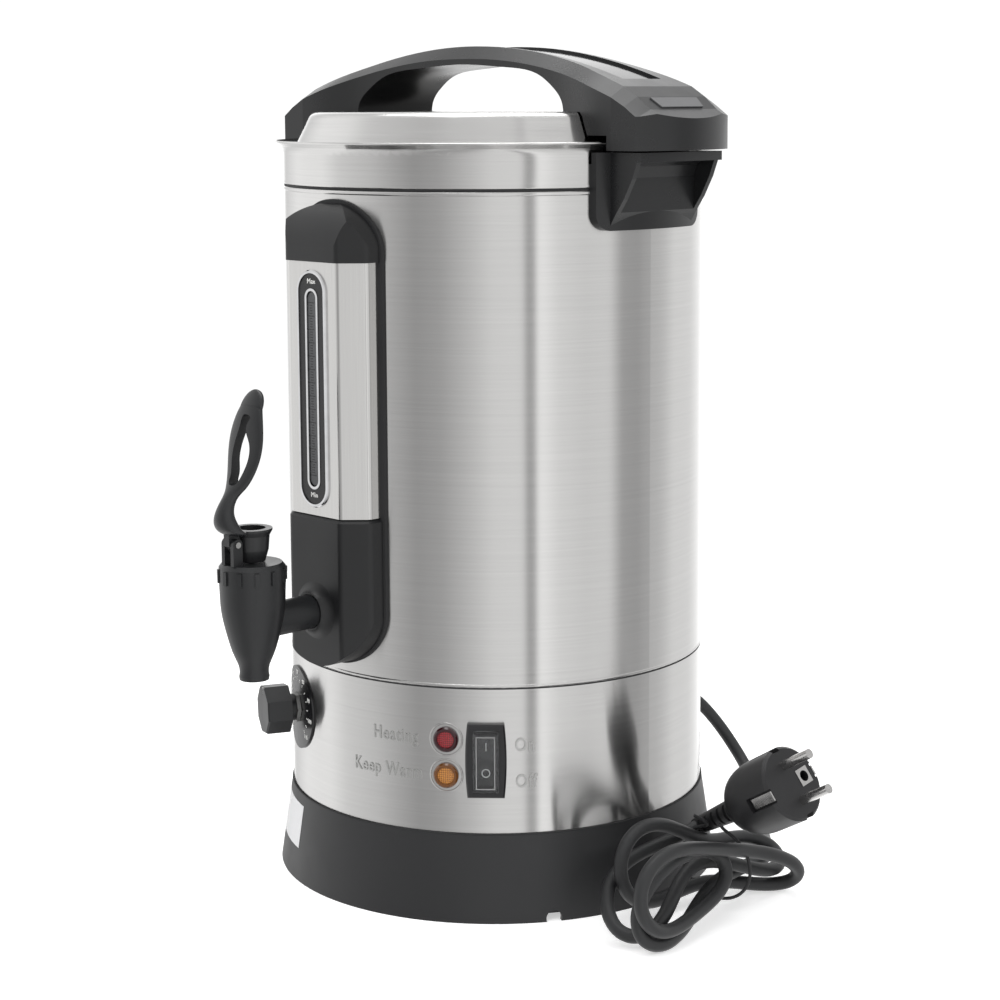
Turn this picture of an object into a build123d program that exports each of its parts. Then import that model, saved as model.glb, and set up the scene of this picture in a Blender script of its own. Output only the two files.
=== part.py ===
from build123d import *
import math
import os

os.makedirs("parts", exist_ok=True)

# ---- driving dimensions, mm ----
body_r = 110.0            # outside radius of the steel body
sheet = 0.8               # sheet steel thickness
fit_gap = 0.3             # between pieces that only sit close
slip = 0.05               # radial clearance of a shaft in its hole

skirt_top = 43.3
skirt_lip = 0.8
skirt_flare = 6.5
skirt_top_r = body_r + skirt_lip
skirt_foot_r = skirt_top_r + skirt_flare
boss_ring_r = body_r - 14.0
screw_hole_r = 1.55

band_top = 118.0
shell_top = 361.2
cut_height = 2.5 * shell_top
tank_gap = 7.4            # from the shell to the middle of the tank wall
tank_r = body_r - tank_gap
tank_floor = 124.0
lid_top = 399.0

tap_reach = 56.0
tap_axis_y = -body_r - tap_reach
tap_pipe_z = 153.0
stem_r = 3.0
stem_neck_r = 1.6
pivot_y = tap_axis_y - 12.0
pivot_z = 194.0
pivot_pin_r = 1.5

gauge_low = 201.0
gauge_high = 327.0
gauge_mid = 264.0
glass_r = 4.5
glass_y = -body_r - 7.5
fitting_heights = (gauge_low - 11.0, gauge_high + 5.0)

dial_azimuth = -25.0
dial_z = 89.5
shaft_r = 3.0
switch_azimuth = 42.6
switch_z = 81.6
rocker_pivot_r = 1.2
rocker_pivot_reach = body_r - 3.0
rocker_lean = 7.0
lamp_azimuth = 32.2
lamp_heights = (91.6, 73.3)
lamp_hole_r = 4.95
gland_z = 61.0
gland_r = 6.0

bracket_screw_z = 351.0
bracket_screw_angle = 7.8
handle_screw_x = body_r - 25.0
handle_screw_y = 12.0

cord_r = 3.5
pin_r = 2.4
pin_spacing = 19.0
pin_length = 19.0
shank_r = 1.8             # the part of a pin that is inside the plug


def facing(azimuth, height, reach):
    """Plane that looks outward from the urn's axis; azimuth 0 is the tap side."""
    a = math.radians(azimuth)
    out = Vector(math.sin(a), -math.cos(a), 0)
    return Plane(
        origin=out * reach + Vector(0, 0, height),
        x_dir=(math.cos(a), math.sin(a), 0),
        z_dir=out,
    )


def turned(azimuth, height):
    """Plane for turned profiles: local x is the radius, local y the reach."""
    a = math.radians(azimuth)
    return Plane(origin=(0, 0, height), x_dir=(math.cos(a), math.sin(a), 0), z_dir=(0, 0, -1))


def outward(azimuth, height):
    a = math.radians(azimuth)
    return Axis((0, 0, height), (math.sin(a), -math.cos(a), 0))


def upright(x, y):
    return Axis((x, y, 0), (0, 0, 1))


def polygon(*points):
    with BuildLine() as outline:
        Polyline(*points, close=True)
    make_face(outline.edges())


def disc(plane, radius, length, mode=Mode.ADD):
    with BuildSketch(plane) as outline:
        Circle(radius)
    extrude(to_extrude=outline.sketch, amount=length, mode=mode)


def block(plane, width, height, length, mode=Mode.ADD):
    with BuildSketch(plane) as outline:
        Rectangle(width, height)
    extrude(to_extrude=outline.sketch, amount=length, mode=mode)


def around(count, start=0.0):
    return [start + 360.0 / count * i for i in range(count)]


def ring_point(radius, angle, height=0.0):
    a = math.radians(angle)
    return Vector(radius * math.cos(a), radius * math.sin(a), height)


def flat_at(point):
    return Plane(origin=point, x_dir=(1, 0, 0), z_dir=(0, 0, 1))


foot_points = [ring_point(boss_ring_r, angle) for angle in around(4, 45.0)]

# ---- base: skirt, cover, feet, screws ----
skirt_wall = 3.0
cover_low = 3.0
cover_high = 4.2
foot_r = 8.0
notch_azimuth = 59.3

with BuildPart() as base_skirt:
    with BuildSketch(Plane.XZ):
        polygon(
            (skirt_foot_r, 0),
            (skirt_top_r, skirt_top),
            (body_r - 1.1, skirt_top),
            (body_r - 1.1, skirt_top + 4),
            (body_r - 3.6, skirt_top + 4),
            (body_r - 3.6, skirt_top),
            (body_r - 20, skirt_top),
            (body_r - 20, skirt_top - 3),
            (skirt_top_r - 3.1, skirt_top - 3),
            (skirt_foot_r - skirt_wall, 0),
        )
    revolve(axis=Axis.Z)
    for point in foot_points:
        disc(flat_at(point + Vector(0, 0, cover_high)), 4.5, skirt_top - 3 - cover_high)
        disc(flat_at(point + Vector(0, 0, cover_high)), screw_hole_r, 14.0, Mode.SUBTRACT)
    disc(facing(notch_azimuth, 1.5, skirt_foot_r - 12.3), 4.0, 16.0, Mode.SUBTRACT)

with BuildPart() as bottom_cover:
    disc(Plane.XY.offset(cover_low), skirt_foot_r - skirt_wall - 0.7 - fit_gap, cover_high - cover_low)
    for point in foot_points:
        disc(flat_at(point), 1.8, 6.0, Mode.SUBTRACT)
    with BuildSketch(Plane.XY):
        for shift in (-30, -18, -6, 6, 18, 30):
            with Locations((shift, 0)):
                SlotOverall(44, 5, rotation=90)
    extrude(amount=6.0, mode=Mode.SUBTRACT)

with BuildPart() as rubber_feet:
    for point in foot_points:
        disc(flat_at(point), foot_r, cover_low)
        disc(flat_at(point), 3.4, 1.8, Mode.SUBTRACT)
        disc(flat_at(point), 1.8, cover_low, Mode.SUBTRACT)

with BuildPart() as foot_screws:
    for point in foot_points:
        disc(flat_at(point + Vector(0, 0, 0.4)), 3.0, 1.4)
        disc(flat_at(point + Vector(0, 0, 1.8)), screw_hole_r - slip, 14.2)

# ---- control band ----
window_w = 13.4
window_h = 29.6
bush_r = 4.9
dial_hole_r = bush_r + 0.3

with BuildPart() as control_band:
    with BuildSketch(Plane.XZ):
        polygon(
            (body_r, skirt_top),
            (body_r, band_top - 0.6),
            (body_r - 0.5, band_top - 0.6),
            (body_r - 0.5, band_top),
            (body_r - 1.1, band_top),
            (body_r - 1.1, band_top + 6),
            (body_r - 1.9, band_top + 6),
            (body_r - 1.9, band_top - 1),
            (body_r - sheet, band_top - 1),
            (body_r - sheet, skirt_top),
        )
    revolve(axis=Axis.Z)
    block(facing(switch_azimuth, switch_z, body_r - 10), window_w, window_h, 15, Mode.SUBTRACT)
    for height in lamp_heights:
        disc(facing(lamp_azimuth, height, body_r - 10), lamp_hole_r, 15, Mode.SUBTRACT)
    disc(facing(dial_azimuth, dial_z, body_r - 10), dial_hole_r, 15, Mode.SUBTRACT)
    disc(facing(180, gland_z, body_r - 10), gland_r + 0.2, 15, Mode.SUBTRACT)

# ---- outer shell and tank ----
shell_mid_r = body_r - sheet / 2
tap_hole_r = 8.3
spigot_r = 4.5
bracket_azimuths = [side + lean for side in (90, -90) for lean in (-bracket_screw_angle, bracket_screw_angle)]

with BuildPart() as outer_shell:
    with BuildSketch(Plane.XZ):
        with BuildLine():
            FilletPolyline(
                (shell_mid_r, band_top),
                (shell_mid_r, shell_top),
                (body_r - 5, shell_top),
                radius=1.6,
            )
        trace(line_width=sheet)
    revolve(axis=Axis.Z)
    disc(facing(0, tap_pipe_z, body_r - 10), tap_hole_r, 15, Mode.SUBTRACT)
    for height in fitting_heights:
        disc(facing(0, height, body_r - 10), spigot_r + fit_gap, 15, Mode.SUBTRACT)
    for azimuth in bracket_azimuths:
        disc(facing(azimuth, bracket_screw_z, body_r - 10), 2.1, 15, Mode.SUBTRACT)

with BuildPart() as tank:
    with BuildSketch(Plane.XZ):
        with BuildLine():
            FilletPolyline(
                (0, tank_floor),
                (tank_r, tank_floor),
                (tank_r, shell_top + sheet),
                (shell_mid_r, shell_top + sheet),
                (shell_mid_r, 380.2),
                (body_r + 4.0, 384.4),
                radius=[8, 2, 2, 6],
            )
        trace(line_width=sheet)
    revolve(axis=Axis.Z)
    disc(facing(0, tap_pipe_z, body_r - 15), tap_hole_r, 12, Mode.SUBTRACT)
    for height in fitting_heights:
        disc(facing(0, height, body_r - 15), spigot_r + fit_gap, 12, Mode.SUBTRACT)

# ---- heater under the tank floor ----
plate_low = 117.6
plate_high = tank_floor - sheet / 2
element_ring_r = 58.0
element_r = 4.0
terminal_angles = (76.0, 104.0)

with BuildPart() as heat_plate:
    disc(Plane.XY.offset(plate_low), tank_r - 27.6, plate_high - plate_low)
    with BuildSketch(Plane.XZ):
        with Locations((element_ring_r, plate_low)):
            Circle(element_r + 0.1)
    revolve(axis=Axis.Z, mode=Mode.SUBTRACT)

with BuildPart() as heating_element:
    with BuildLine(Plane.XY.offset(plate_low)):
        ring_run = CenterArc((0, 0), element_ring_r, 102, 336)
    with BuildSketch(Plane(origin=ring_run @ 0, z_dir=ring_run % 0)):
        Circle(element_r)
    sweep()
    for angle in terminal_angles:
        disc(flat_at(ring_point(element_ring_r, angle, 100.0)), 2.0, plate_low - 100.0)

with BuildPart() as thermal_cutout:
    disc(Plane.XY.offset(plate_low - 7), 9.0, 7.0)
    for side in (-1, 1):
        block(flat_at((side * 5.5, 0, plate_low - 16)), 0.8, 6.3, 9.0)

bulb_r = 3.0
bulb_y = -30.0
thermo_back = body_r - 26.0
with BuildPart() as thermostat_bulb:
    with BuildSketch(Plane(origin=(-25, bulb_y, plate_low - bulb_r), x_dir=(0, 1, 0), z_dir=(1, 0, 0))):
        Circle(bulb_r)
    extrude(amount=50)
    with BuildLine():
        capillary = FilletPolyline(
            (-25, bulb_y, plate_low - bulb_r),
            (-42, bulb_y, plate_low - bulb_r),
            (-48, bulb_y - 14, 104),
            facing(dial_azimuth - 8.7, 99.5, thermo_back - 4.7).origin,
            facing(dial_azimuth, 96.5, thermo_back - 0.16).origin,
            radius=4,
        )
    with BuildSketch(Plane(origin=capillary @ 0, z_dir=capillary % 0)):
        Circle(0.8)
    sweep()

# ---- thermostat and dial ----
dial_axis = outward(dial_azimuth, dial_z)
thermo_front = body_r - 6.0
bush_front = body_r + 2.9

with BuildPart() as thermostat_body:
    block(facing(dial_azimuth, dial_z, thermo_back), 36, 30, thermo_front - thermo_back)
    disc(facing(dial_azimuth, dial_z, thermo_front), bush_r, bush_front - thermo_front)
    disc(facing(dial_azimuth, dial_z, thermo_back + 5), shaft_r + slip, 30, Mode.SUBTRACT)

with BuildPart() as thermostat_nut:
    with BuildSketch(facing(dial_azimuth, dial_z, body_r + 1.02)):
        RegularPolygon(7.0, 6, major_radius=False)
        Circle(bush_r + slip, mode=Mode.SUBTRACT)
    extrude(amount=1.98)

with BuildPart() as dial_plate:
    disc(facing(dial_azimuth, dial_z, body_r - 15), 21.8, 25)
    Cylinder(body_r + 1.0, cut_height, mode=Mode.INTERSECT)
    Cylinder(body_r + slip, cut_height, mode=Mode.SUBTRACT)
    disc(facing(dial_azimuth, dial_z, body_r - 15), dial_hole_r, 25, Mode.SUBTRACT)

knob_back = body_r + 6.8
knob_front = knob_back + 13.0
with BuildPart() as dial_knob:
    with BuildSketch(facing(dial_azimuth, dial_z, knob_back)):
        RegularPolygon(13.2, 8, rotation=30)
    extrude(amount=knob_front - knob_back)
    front_rim = faces().sort_by(dial_axis)[-1].edges()
    chamfer(front_rim, 0.8)
    disc(facing(dial_azimuth, dial_z, bush_front + 0.4), 7.0, knob_back - bush_front - 0.4)
    disc(facing(dial_azimuth, dial_z, body_r), shaft_r + slip, 16.5, Mode.SUBTRACT)
    block(facing(dial_azimuth, dial_z + 10.0, knob_front - 0.5), 1.2, 4.0, 1.0, Mode.SUBTRACT)

with BuildPart() as thermostat_shaft:
    disc(facing(dial_azimuth, dial_z, body_r - 20), shaft_r, 36)

# ---- rocker switch ----
bezel_front = body_r + 2.9
pocket_w = 10.4
pocket_h = 26.6
rocker_w = 9.6
rocker_half = 12.4

with BuildPart() as switch_housing:
    with BuildSketch(facing(switch_azimuth, switch_z, body_r - 2)):
        with BuildLine():
            Polyline((-9.2, 18.65), (9.2, 18.65))
            ThreePointArc((9.2, 18.65), (10.25, 0), (9.2, -18.65))
            Polyline((9.2, -18.65), (-9.2, -18.65))
            ThreePointArc((-9.2, -18.65), (-10.25, 0), (-9.2, 18.65))
        make_face()
    extrude(amount=bezel_front - body_r + 2)
    chamfer(faces().sort_by(outward(switch_azimuth, switch_z))[-1].edges(), 0.8)
    Cylinder(body_r + slip, cut_height, mode=Mode.SUBTRACT)
    block(facing(switch_azimuth, switch_z, body_r - 24), window_w - 0.4, window_h - 0.4, 25)
    block(facing(switch_azimuth, switch_z, body_r - 12), pocket_w, pocket_h, 20, Mode.SUBTRACT)
    with BuildSketch(facing(switch_azimuth + 90, switch_z, 0)):
        with Locations((-rocker_pivot_reach, 0)):
            Circle(rocker_pivot_r + slip)
    extrude(amount=pocket_w / 2 + 1.2, both=True, mode=Mode.SUBTRACT)
    for shift in (-9, 0, 9):
        block(facing(switch_azimuth, switch_z + shift, body_r - 30), 0.8, 4.8, 6.0)

with BuildPart() as switch_rocker:
    rocker_face = facing(switch_azimuth, switch_z, rocker_pivot_reach)
    lean = math.radians(rocker_lean)
    rocker_side = Plane(
        origin=rocker_face.origin,
        x_dir=rocker_face.y_dir * math.cos(lean) - rocker_face.z_dir * math.sin(lean),
        z_dir=rocker_face.x_dir,
    )
    with BuildSketch(rocker_side):
        polygon(
            (-rocker_half, -1.0),
            (-rocker_half, 4.9),
            (0, 3.4),
            (rocker_half, 4.9),
            (rocker_half, -1.0),
            (6, -4.2),
            (-6, -4.2),
        )
    extrude(amount=rocker_w / 2, both=True)
    with BuildSketch(rocker_side):
        Circle(rocker_pivot_r)
    extrude(amount=pocket_w / 2 + 1.0, both=True)

with BuildPart() as switch_boot:
    block(facing(switch_azimuth, switch_z, bezel_front), 12.8, 31.4, 0.8)
    block(facing(switch_azimuth, switch_z, bezel_front + 0.8), 11.6, 29.0, 2.0)
    fillet(edges().filter_by(Axis((0, 0, 0), facing(switch_azimuth, 0, 0).z_dir)).group_by(Axis.Z)[-1], 1.2)
    block(facing(switch_azimuth, switch_z, bezel_front), 10.0, 27.4, 2.0, Mode.SUBTRACT)

# ---- lamps ----
def lamp_lens(height):
    with BuildPart() as lens:
        with BuildSketch(turned(lamp_azimuth, height)):
            polygon(
                (0, body_r + 0.1),
                (6.35, body_r + 0.1),
                (6.35, body_r + 1.0),
                (5.6, body_r + 1.9),
                (4.5, body_r + 1.9),
                (4.1, body_r + 1.2),
                (1.5, body_r + 1.6),
                (0, body_r + 1.65),
            )
        revolve(axis=outward(lamp_azimuth, height))
    return lens


lamp_red = lamp_lens(lamp_heights[0])
lamp_amber = lamp_lens(lamp_heights[1])

with BuildPart() as lamp_bodies:
    for height in lamp_heights:
        disc(facing(lamp_azimuth, height, body_r - 18), lamp_hole_r - 0.15, 18.1)

# ---- sight gauge ----
panel_front = body_r + 15.4
panel_side = 28.9
panel_flat = 18.5
panel_shoulder = body_r + 5.0
gasket_r = body_r + 1.85
cap_arc_z = gauge_high + 4.0
cover_arc_z = tap_pipe_z - 1.0
cap_turn_y = 2.0 - body_r


def gauge_prism(grow, low, high, mode=Mode.ADD):
    """Upright piece of the gauge housing's plan, grown outward by the given amount."""
    nip = grow * math.tan(math.radians(22.5))
    front = panel_front + grow
    shoulder = panel_shoulder + nip
    side = panel_side + grow
    flat = panel_flat + nip
    with BuildSketch(Plane.XY.offset(low)) as plan:
        polygon(
            (-flat, -front),
            (flat, -front),
            (side, -shoulder),
            (side, 30 - body_r),
            (-side, 30 - body_r),
            (-side, -shoulder),
        )
        fillet(vertices().filter_by(lambda v: v.Y < -front + 0.1), 3.0 + grow)
        fillet(vertices().filter_by(lambda v: abs(v.X) > side - 0.1 and v.Y < 10 - body_r), 4.0 + grow)
    extrude(to_extrude=plan.sketch, amount=high - low, mode=mode)


def front_outline(side, low_z, low_drop, high_z, high_rise):
    """Front view with straight sides, round below and above."""
    with BuildLine() as outline:
        Line((-side, low_z), (-side, high_z))
        EllipticalCenterArc((0, high_z), side, high_rise, start_angle=0, arc_size=180)
        Line((side, high_z), (side, low_z))
        EllipticalCenterArc((0, low_z), side, low_drop, start_angle=180, arc_size=180)
    make_face(outline.edges())


def stadium(width, height):
    SlotOverall(height, width, rotation=90)


with BuildPart() as gauge_frame:
    with BuildSketch(Plane.XZ.offset(body_r - 30)):
        front_outline(panel_side + 2.3, cover_arc_z, 28.2, cap_arc_z, 26)
    extrude(amount=40)
    with BuildSketch(Plane.XZ.offset(body_r - 40)):
        front_outline(panel_side - 3.4, cover_arc_z, 22.5, cap_arc_z, 20)
    extrude(amount=60, mode=Mode.SUBTRACT)
    Cylinder(gasket_r - slip, cut_height, mode=Mode.INTERSECT)
    Cylinder(body_r + slip, cut_height, mode=Mode.SUBTRACT)

with BuildPart() as gauge_panel:
    gauge_prism(0, gauge_low, gauge_high)
    gauge_prism(-1.0, gauge_low, gauge_high, Mode.SUBTRACT)
    Cylinder(gasket_r, cut_height, mode=Mode.SUBTRACT)
    with BuildSketch(facing(0, gauge_mid, panel_front - 5.4)):
        stadium(19.5, 115.8)
    extrude(amount=10, mode=Mode.SUBTRACT)

def side_view(front, low, high):
    """Side view of the cap: upright front, round shoulder, flat top."""
    with BuildLine() as outline:
        Polyline(
            (cap_turn_y - front, gauge_high + 6),
            (cap_turn_y - front, low),
            (cap_turn_y + 38, low),
            (cap_turn_y + 38, gauge_high + 6 + high),
            (cap_turn_y, gauge_high + 6 + high),
        )
        EllipticalCenterArc((cap_turn_y, gauge_high + 6), front, high, start_angle=90, arc_size=90)
    make_face(outline.edges())


with BuildPart() as cap_hollow:
    gauge_prism(-1.5, gauge_high - 1, gauge_high + 29)
    with BuildSketch(Plane.XZ.offset(body_r - 50)):
        front_outline(panel_side - 1.3, gauge_high - 37, 20, cap_arc_z, 22.2)
    extrude(amount=90, mode=Mode.INTERSECT)
    with BuildSketch(Plane.YZ):
        side_view(16.2, gauge_high - 27, 20.2)
    extrude(amount=60, both=True, mode=Mode.INTERSECT)

with BuildPart() as gauge_cap:
    gauge_prism(1.0, gauge_high, gauge_high + 29)
    with BuildSketch(Plane.XZ.offset(body_r - 50)):
        front_outline(panel_side + 1.2, gauge_high - 37, 20, cap_arc_z, 24.5)
    extrude(amount=90, mode=Mode.INTERSECT)
    with BuildSketch(Plane.YZ):
        side_view(18.5, gauge_high - 27, 22.4)
    extrude(amount=60, both=True, mode=Mode.INTERSECT)
    add(cap_hollow.part, mode=Mode.SUBTRACT)
    Cylinder(gasket_r, cut_height, mode=Mode.SUBTRACT)

collar_y = -panel_front - 5.6
with BuildPart() as cover_hollow:
    gauge_prism(-1.5, tap_pipe_z - 33, gauge_low + 1)
    with BuildSketch(Plane.XZ.offset(body_r - 50)):
        front_outline(panel_side - 1.3, cover_arc_z, 24.5, gauge_low + 19, 20)
    extrude(amount=90, mode=Mode.INTERSECT)

with BuildPart() as gauge_lower_cover:
    gauge_prism(1.0, tap_pipe_z - 29, gauge_low)
    with BuildSketch(Plane.XZ.offset(body_r - 50)):
        front_outline(panel_side + 1.2, cover_arc_z, 27, gauge_low + 19, 20)
    extrude(amount=90, mode=Mode.INTERSECT)
    chamfer(edges().filter_by(Axis.X).group_by(Axis.Z)[-1].sort_by(Axis.Y)[0], 2.0)
    add(cover_hollow.part, mode=Mode.SUBTRACT)
    with BuildSketch(Plane.YZ):
        with BuildLine():
            Polyline(
                (collar_y, tap_pipe_z + 9.5),
                (collar_y, tap_pipe_z),
                (collar_y + 6.5, tap_pipe_z),
                (collar_y + 6.5, tap_pipe_z + 14.5),
                (collar_y + 4.6, tap_pipe_z + 14.5),
            )
            ThreePointArc(
                (collar_y + 4.6, tap_pipe_z + 14.5),
                (collar_y + 2.8, tap_pipe_z + 11.2),
                (collar_y, tap_pipe_z + 9.5),
            )
        make_face()
    revolve(axis=Axis((0, 0, tap_pipe_z), (0, 1, 0)))
    disc(facing(0, tap_pipe_z, body_r + 5), 8.7, 20, Mode.SUBTRACT)
    Cylinder(gasket_r, cut_height, mode=Mode.SUBTRACT)

with BuildPart() as gauge_rim:
    with BuildSketch(facing(0, gauge_mid, panel_front)):
        stadium(21.7, 118)
        SlotOverall(114.8, 18.5, rotation=90, mode=Mode.SUBTRACT)
    extrude(amount=1.2)
    chamfer(faces().sort_by(Axis.Y)[0].outer_wire().edges(), 0.5)

with BuildPart() as gauge_face:
    with BuildSketch(facing(0, gauge_mid, panel_front - 1.0)):
        stadium(18.3, 114.6)
        SlotOverall(100, 9.7, rotation=90, mode=Mode.SUBTRACT)
    extrude(amount=1.5)

with BuildPart() as gauge_slot_rim:
    with BuildSketch(facing(0, gauge_mid, panel_front - 1.0)):
        stadium(9.5, 99.8)
        SlotOverall(97.2, 6.9, rotation=90, mode=Mode.SUBTRACT)
    extrude(amount=1.9)

with BuildPart() as sight_glass:
    with BuildSketch(Plane(origin=(0, glass_y, fitting_heights[0] + 6))):
        Circle(glass_r)
        Circle(glass_r - 1.2, mode=Mode.SUBTRACT)
    extrude(amount=fitting_heights[1] - fitting_heights[0] - 12)

with BuildPart() as sight_fittings:
    for height in fitting_heights:
        toward = 1 if height == fitting_heights[0] else -1
        block(flat_at((0, glass_y, height - 7)), 13, 11, 14)
        disc(facing(0, height, body_r - 11), spigot_r, 15)
        disc(facing(0, height, body_r - 12), 2.5, 19, Mode.SUBTRACT)
        with BuildSketch(Plane(origin=(0, glass_y, height), z_dir=(0, 0, toward))):
            Circle(2.5)
        extrude(amount=9, mode=Mode.SUBTRACT)
        with BuildSketch(Plane(origin=(0, glass_y, height + toward * 6), z_dir=(0, 0, toward))):
            Circle(glass_r + slip)
        extrude(amount=9, mode=Mode.SUBTRACT)

# ---- tap ----
chamber_r = 11.0
chamber_floor = 147.0
seat_z = 143.0
outlet_r = 5.0
body_rim_z = 173.6
collar_r = 12.5
tap_axis = upright(0, tap_axis_y)
tap_plane = Plane(origin=(0, tap_axis_y, 0), x_dir=(1, 0, 0), z_dir=(0, -1, 0))
flange_front = body_r + 8.0
flange_back = body_r + 5.0
thread_end = body_r - 18.0

with BuildPart() as tap_body:
    with BuildSketch(tap_plane):
        with BuildLine():
            Spline(
                (16.2, body_rim_z),
                (16.0, 168),
                (15.6, 161),
                (14.2, 153),
                (11.9, 144),
                (9.5, 137),
                (7.8, 133),
                (7.45, 127),
            )
            Polyline((7.45, 127), (7.2, 125.3), (0, 125.3), (0, body_rim_z), (16.2, body_rim_z))
        make_face()
    revolve(axis=tap_axis)
    disc(Plane(origin=(0, tap_axis_y, body_rim_z)), collar_r, 4.4)
    disc(facing(0, tap_pipe_z, flange_front), 8.5, -tap_axis_y - 6.0 - flange_front)
    disc(facing(0, tap_pipe_z, flange_back), 12.0, flange_front - flange_back)
    disc(facing(0, tap_pipe_z, thread_end), 8.0, flange_back - thread_end)
    disc(facing(0, tap_pipe_z, thread_end), outlet_r, -tap_axis_y - thread_end, Mode.SUBTRACT)
    with BuildSketch(tap_plane):
        polygon(
            (0, 120),
            (outlet_r, 120),
            (outlet_r, seat_z),
            (chamber_r - 2.0, chamber_floor),
            (chamber_r, chamber_floor),
            (chamber_r, body_rim_z + 4.4),
            (0, body_rim_z + 4.4),
        )
    revolve(axis=tap_axis, mode=Mode.SUBTRACT)

with BuildPart() as tap_washers:
    disc(facing(0, tap_pipe_z, flange_back - 11), 12.0, 11)
    Cylinder(body_r + slip, cut_height, mode=Mode.SUBTRACT)
    disc(facing(0, tap_pipe_z, body_r - 6.9), 10.0, 5.5)
    disc(facing(0, tap_pipe_z, body_r - 11.1), 12.0, 2.5)
    disc(facing(0, tap_pipe_z, body_r - 20), 8.0 + slip, 30, Mode.SUBTRACT)

with BuildPart() as tap_nut:
    with BuildSketch(facing(0, tap_pipe_z, body_r - 17.1)):
        RegularPolygon(12.0, 6, major_radius=False)
        Circle(8.0 + slip, mode=Mode.SUBTRACT)
    extrude(amount=6)

bonnet_top = 183.6
ear_in = 2.3
ear_out = 4.6
rib_count = 12
with BuildPart() as tap_bonnet:
    with BuildSketch(tap_plane):
        polygon(
            (stem_r + slip, 179.6),
            (collar_r + 0.3, 179.6),
            (collar_r + 0.3, body_rim_z),
            (16.2, body_rim_z),
            (16.2, 181.6),
            (14.6, bonnet_top),
            (stem_r + slip, bonnet_top),
        )
    revolve(axis=tap_axis)
    with BuildSketch(Plane(origin=(0, tap_axis_y, body_rim_z + 0.6))):
        with PolarLocations(16.2, rib_count):
            Rectangle(1.6, 2.2)
    extrude(amount=6.6)
    for side in (-1, 1):
        with BuildSketch(Plane(origin=(side * ear_in, 0, 0), x_dir=(0, side, 0), z_dir=(side, 0, 0))):
            with Locations((side * pivot_y, pivot_z)):
                Circle(2.8)
            with Locations((side * pivot_y, (pivot_z + bonnet_top) / 2)):
                Rectangle(5.6, pivot_z - bonnet_top)
        extrude(amount=ear_out - ear_in)
    with BuildSketch(Plane.YZ):
        with Locations((pivot_y, pivot_z)):
            Circle(pivot_pin_r + slip)
    extrude(amount=20, both=True, mode=Mode.SUBTRACT)

with BuildPart() as lever_pin:
    with BuildSketch(Plane.YZ):
        with Locations((pivot_y, pivot_z)):
            Circle(pivot_pin_r)
    extrude(amount=ear_out + 0.5, both=True)

stem_shoulder = 182.0
ball_z = 189.6
ball_r = 3.5
collar_low = 156.0
collar_high = 158.0
with BuildPart() as tap_stem:
    with BuildSketch(tap_plane):
        with BuildLine():
            Polyline(
                (0, chamber_floor + 2),
                (stem_r, chamber_floor + 2),
                (stem_r, collar_low),
                (9.0, collar_low),
                (9.0, collar_high),
                (stem_r, collar_high),
                (stem_r, stem_shoulder),
                (stem_neck_r, stem_shoulder),
                (stem_neck_r, ball_z - math.sqrt(ball_r**2 - stem_neck_r**2)),
            )
            ThreePointArc(
                (stem_neck_r, ball_z - math.sqrt(ball_r**2 - stem_neck_r**2)),
                (ball_r, ball_z),
                (0, ball_z + ball_r),
            )
            Line((0, ball_z + ball_r), (0, chamber_floor + 2))
        make_face()
    revolve(axis=tap_axis)

with BuildPart() as stem_seal:
    with BuildSketch(tap_plane):
        polygon(
            (0, seat_z + fit_gap),
            (outlet_r - 0.1, seat_z + fit_gap),
            (8.5, seat_z + fit_gap + 3.6),
            (8.5, chamber_floor + 2),
            (0, chamber_floor + 2),
        )
    revolve(axis=tap_axis)

spring_wire_r = 0.8
spring_r = 6.6
spring_low = collar_high + spring_wire_r
spring_high = 179.6 - spring_wire_r
with BuildPart() as tap_spring:
    with BuildLine():
        coil = Helix(
            pitch=(spring_high - spring_low) / 4.5,
            height=spring_high - spring_low,
            radius=spring_r,
            center=(0, tap_axis_y, spring_low),
        )
    with BuildSketch(Plane(origin=coil @ 0, z_dir=coil % 0)):
        Circle(spring_wire_r)
    sweep(path=coil, is_frenet=True)

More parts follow.
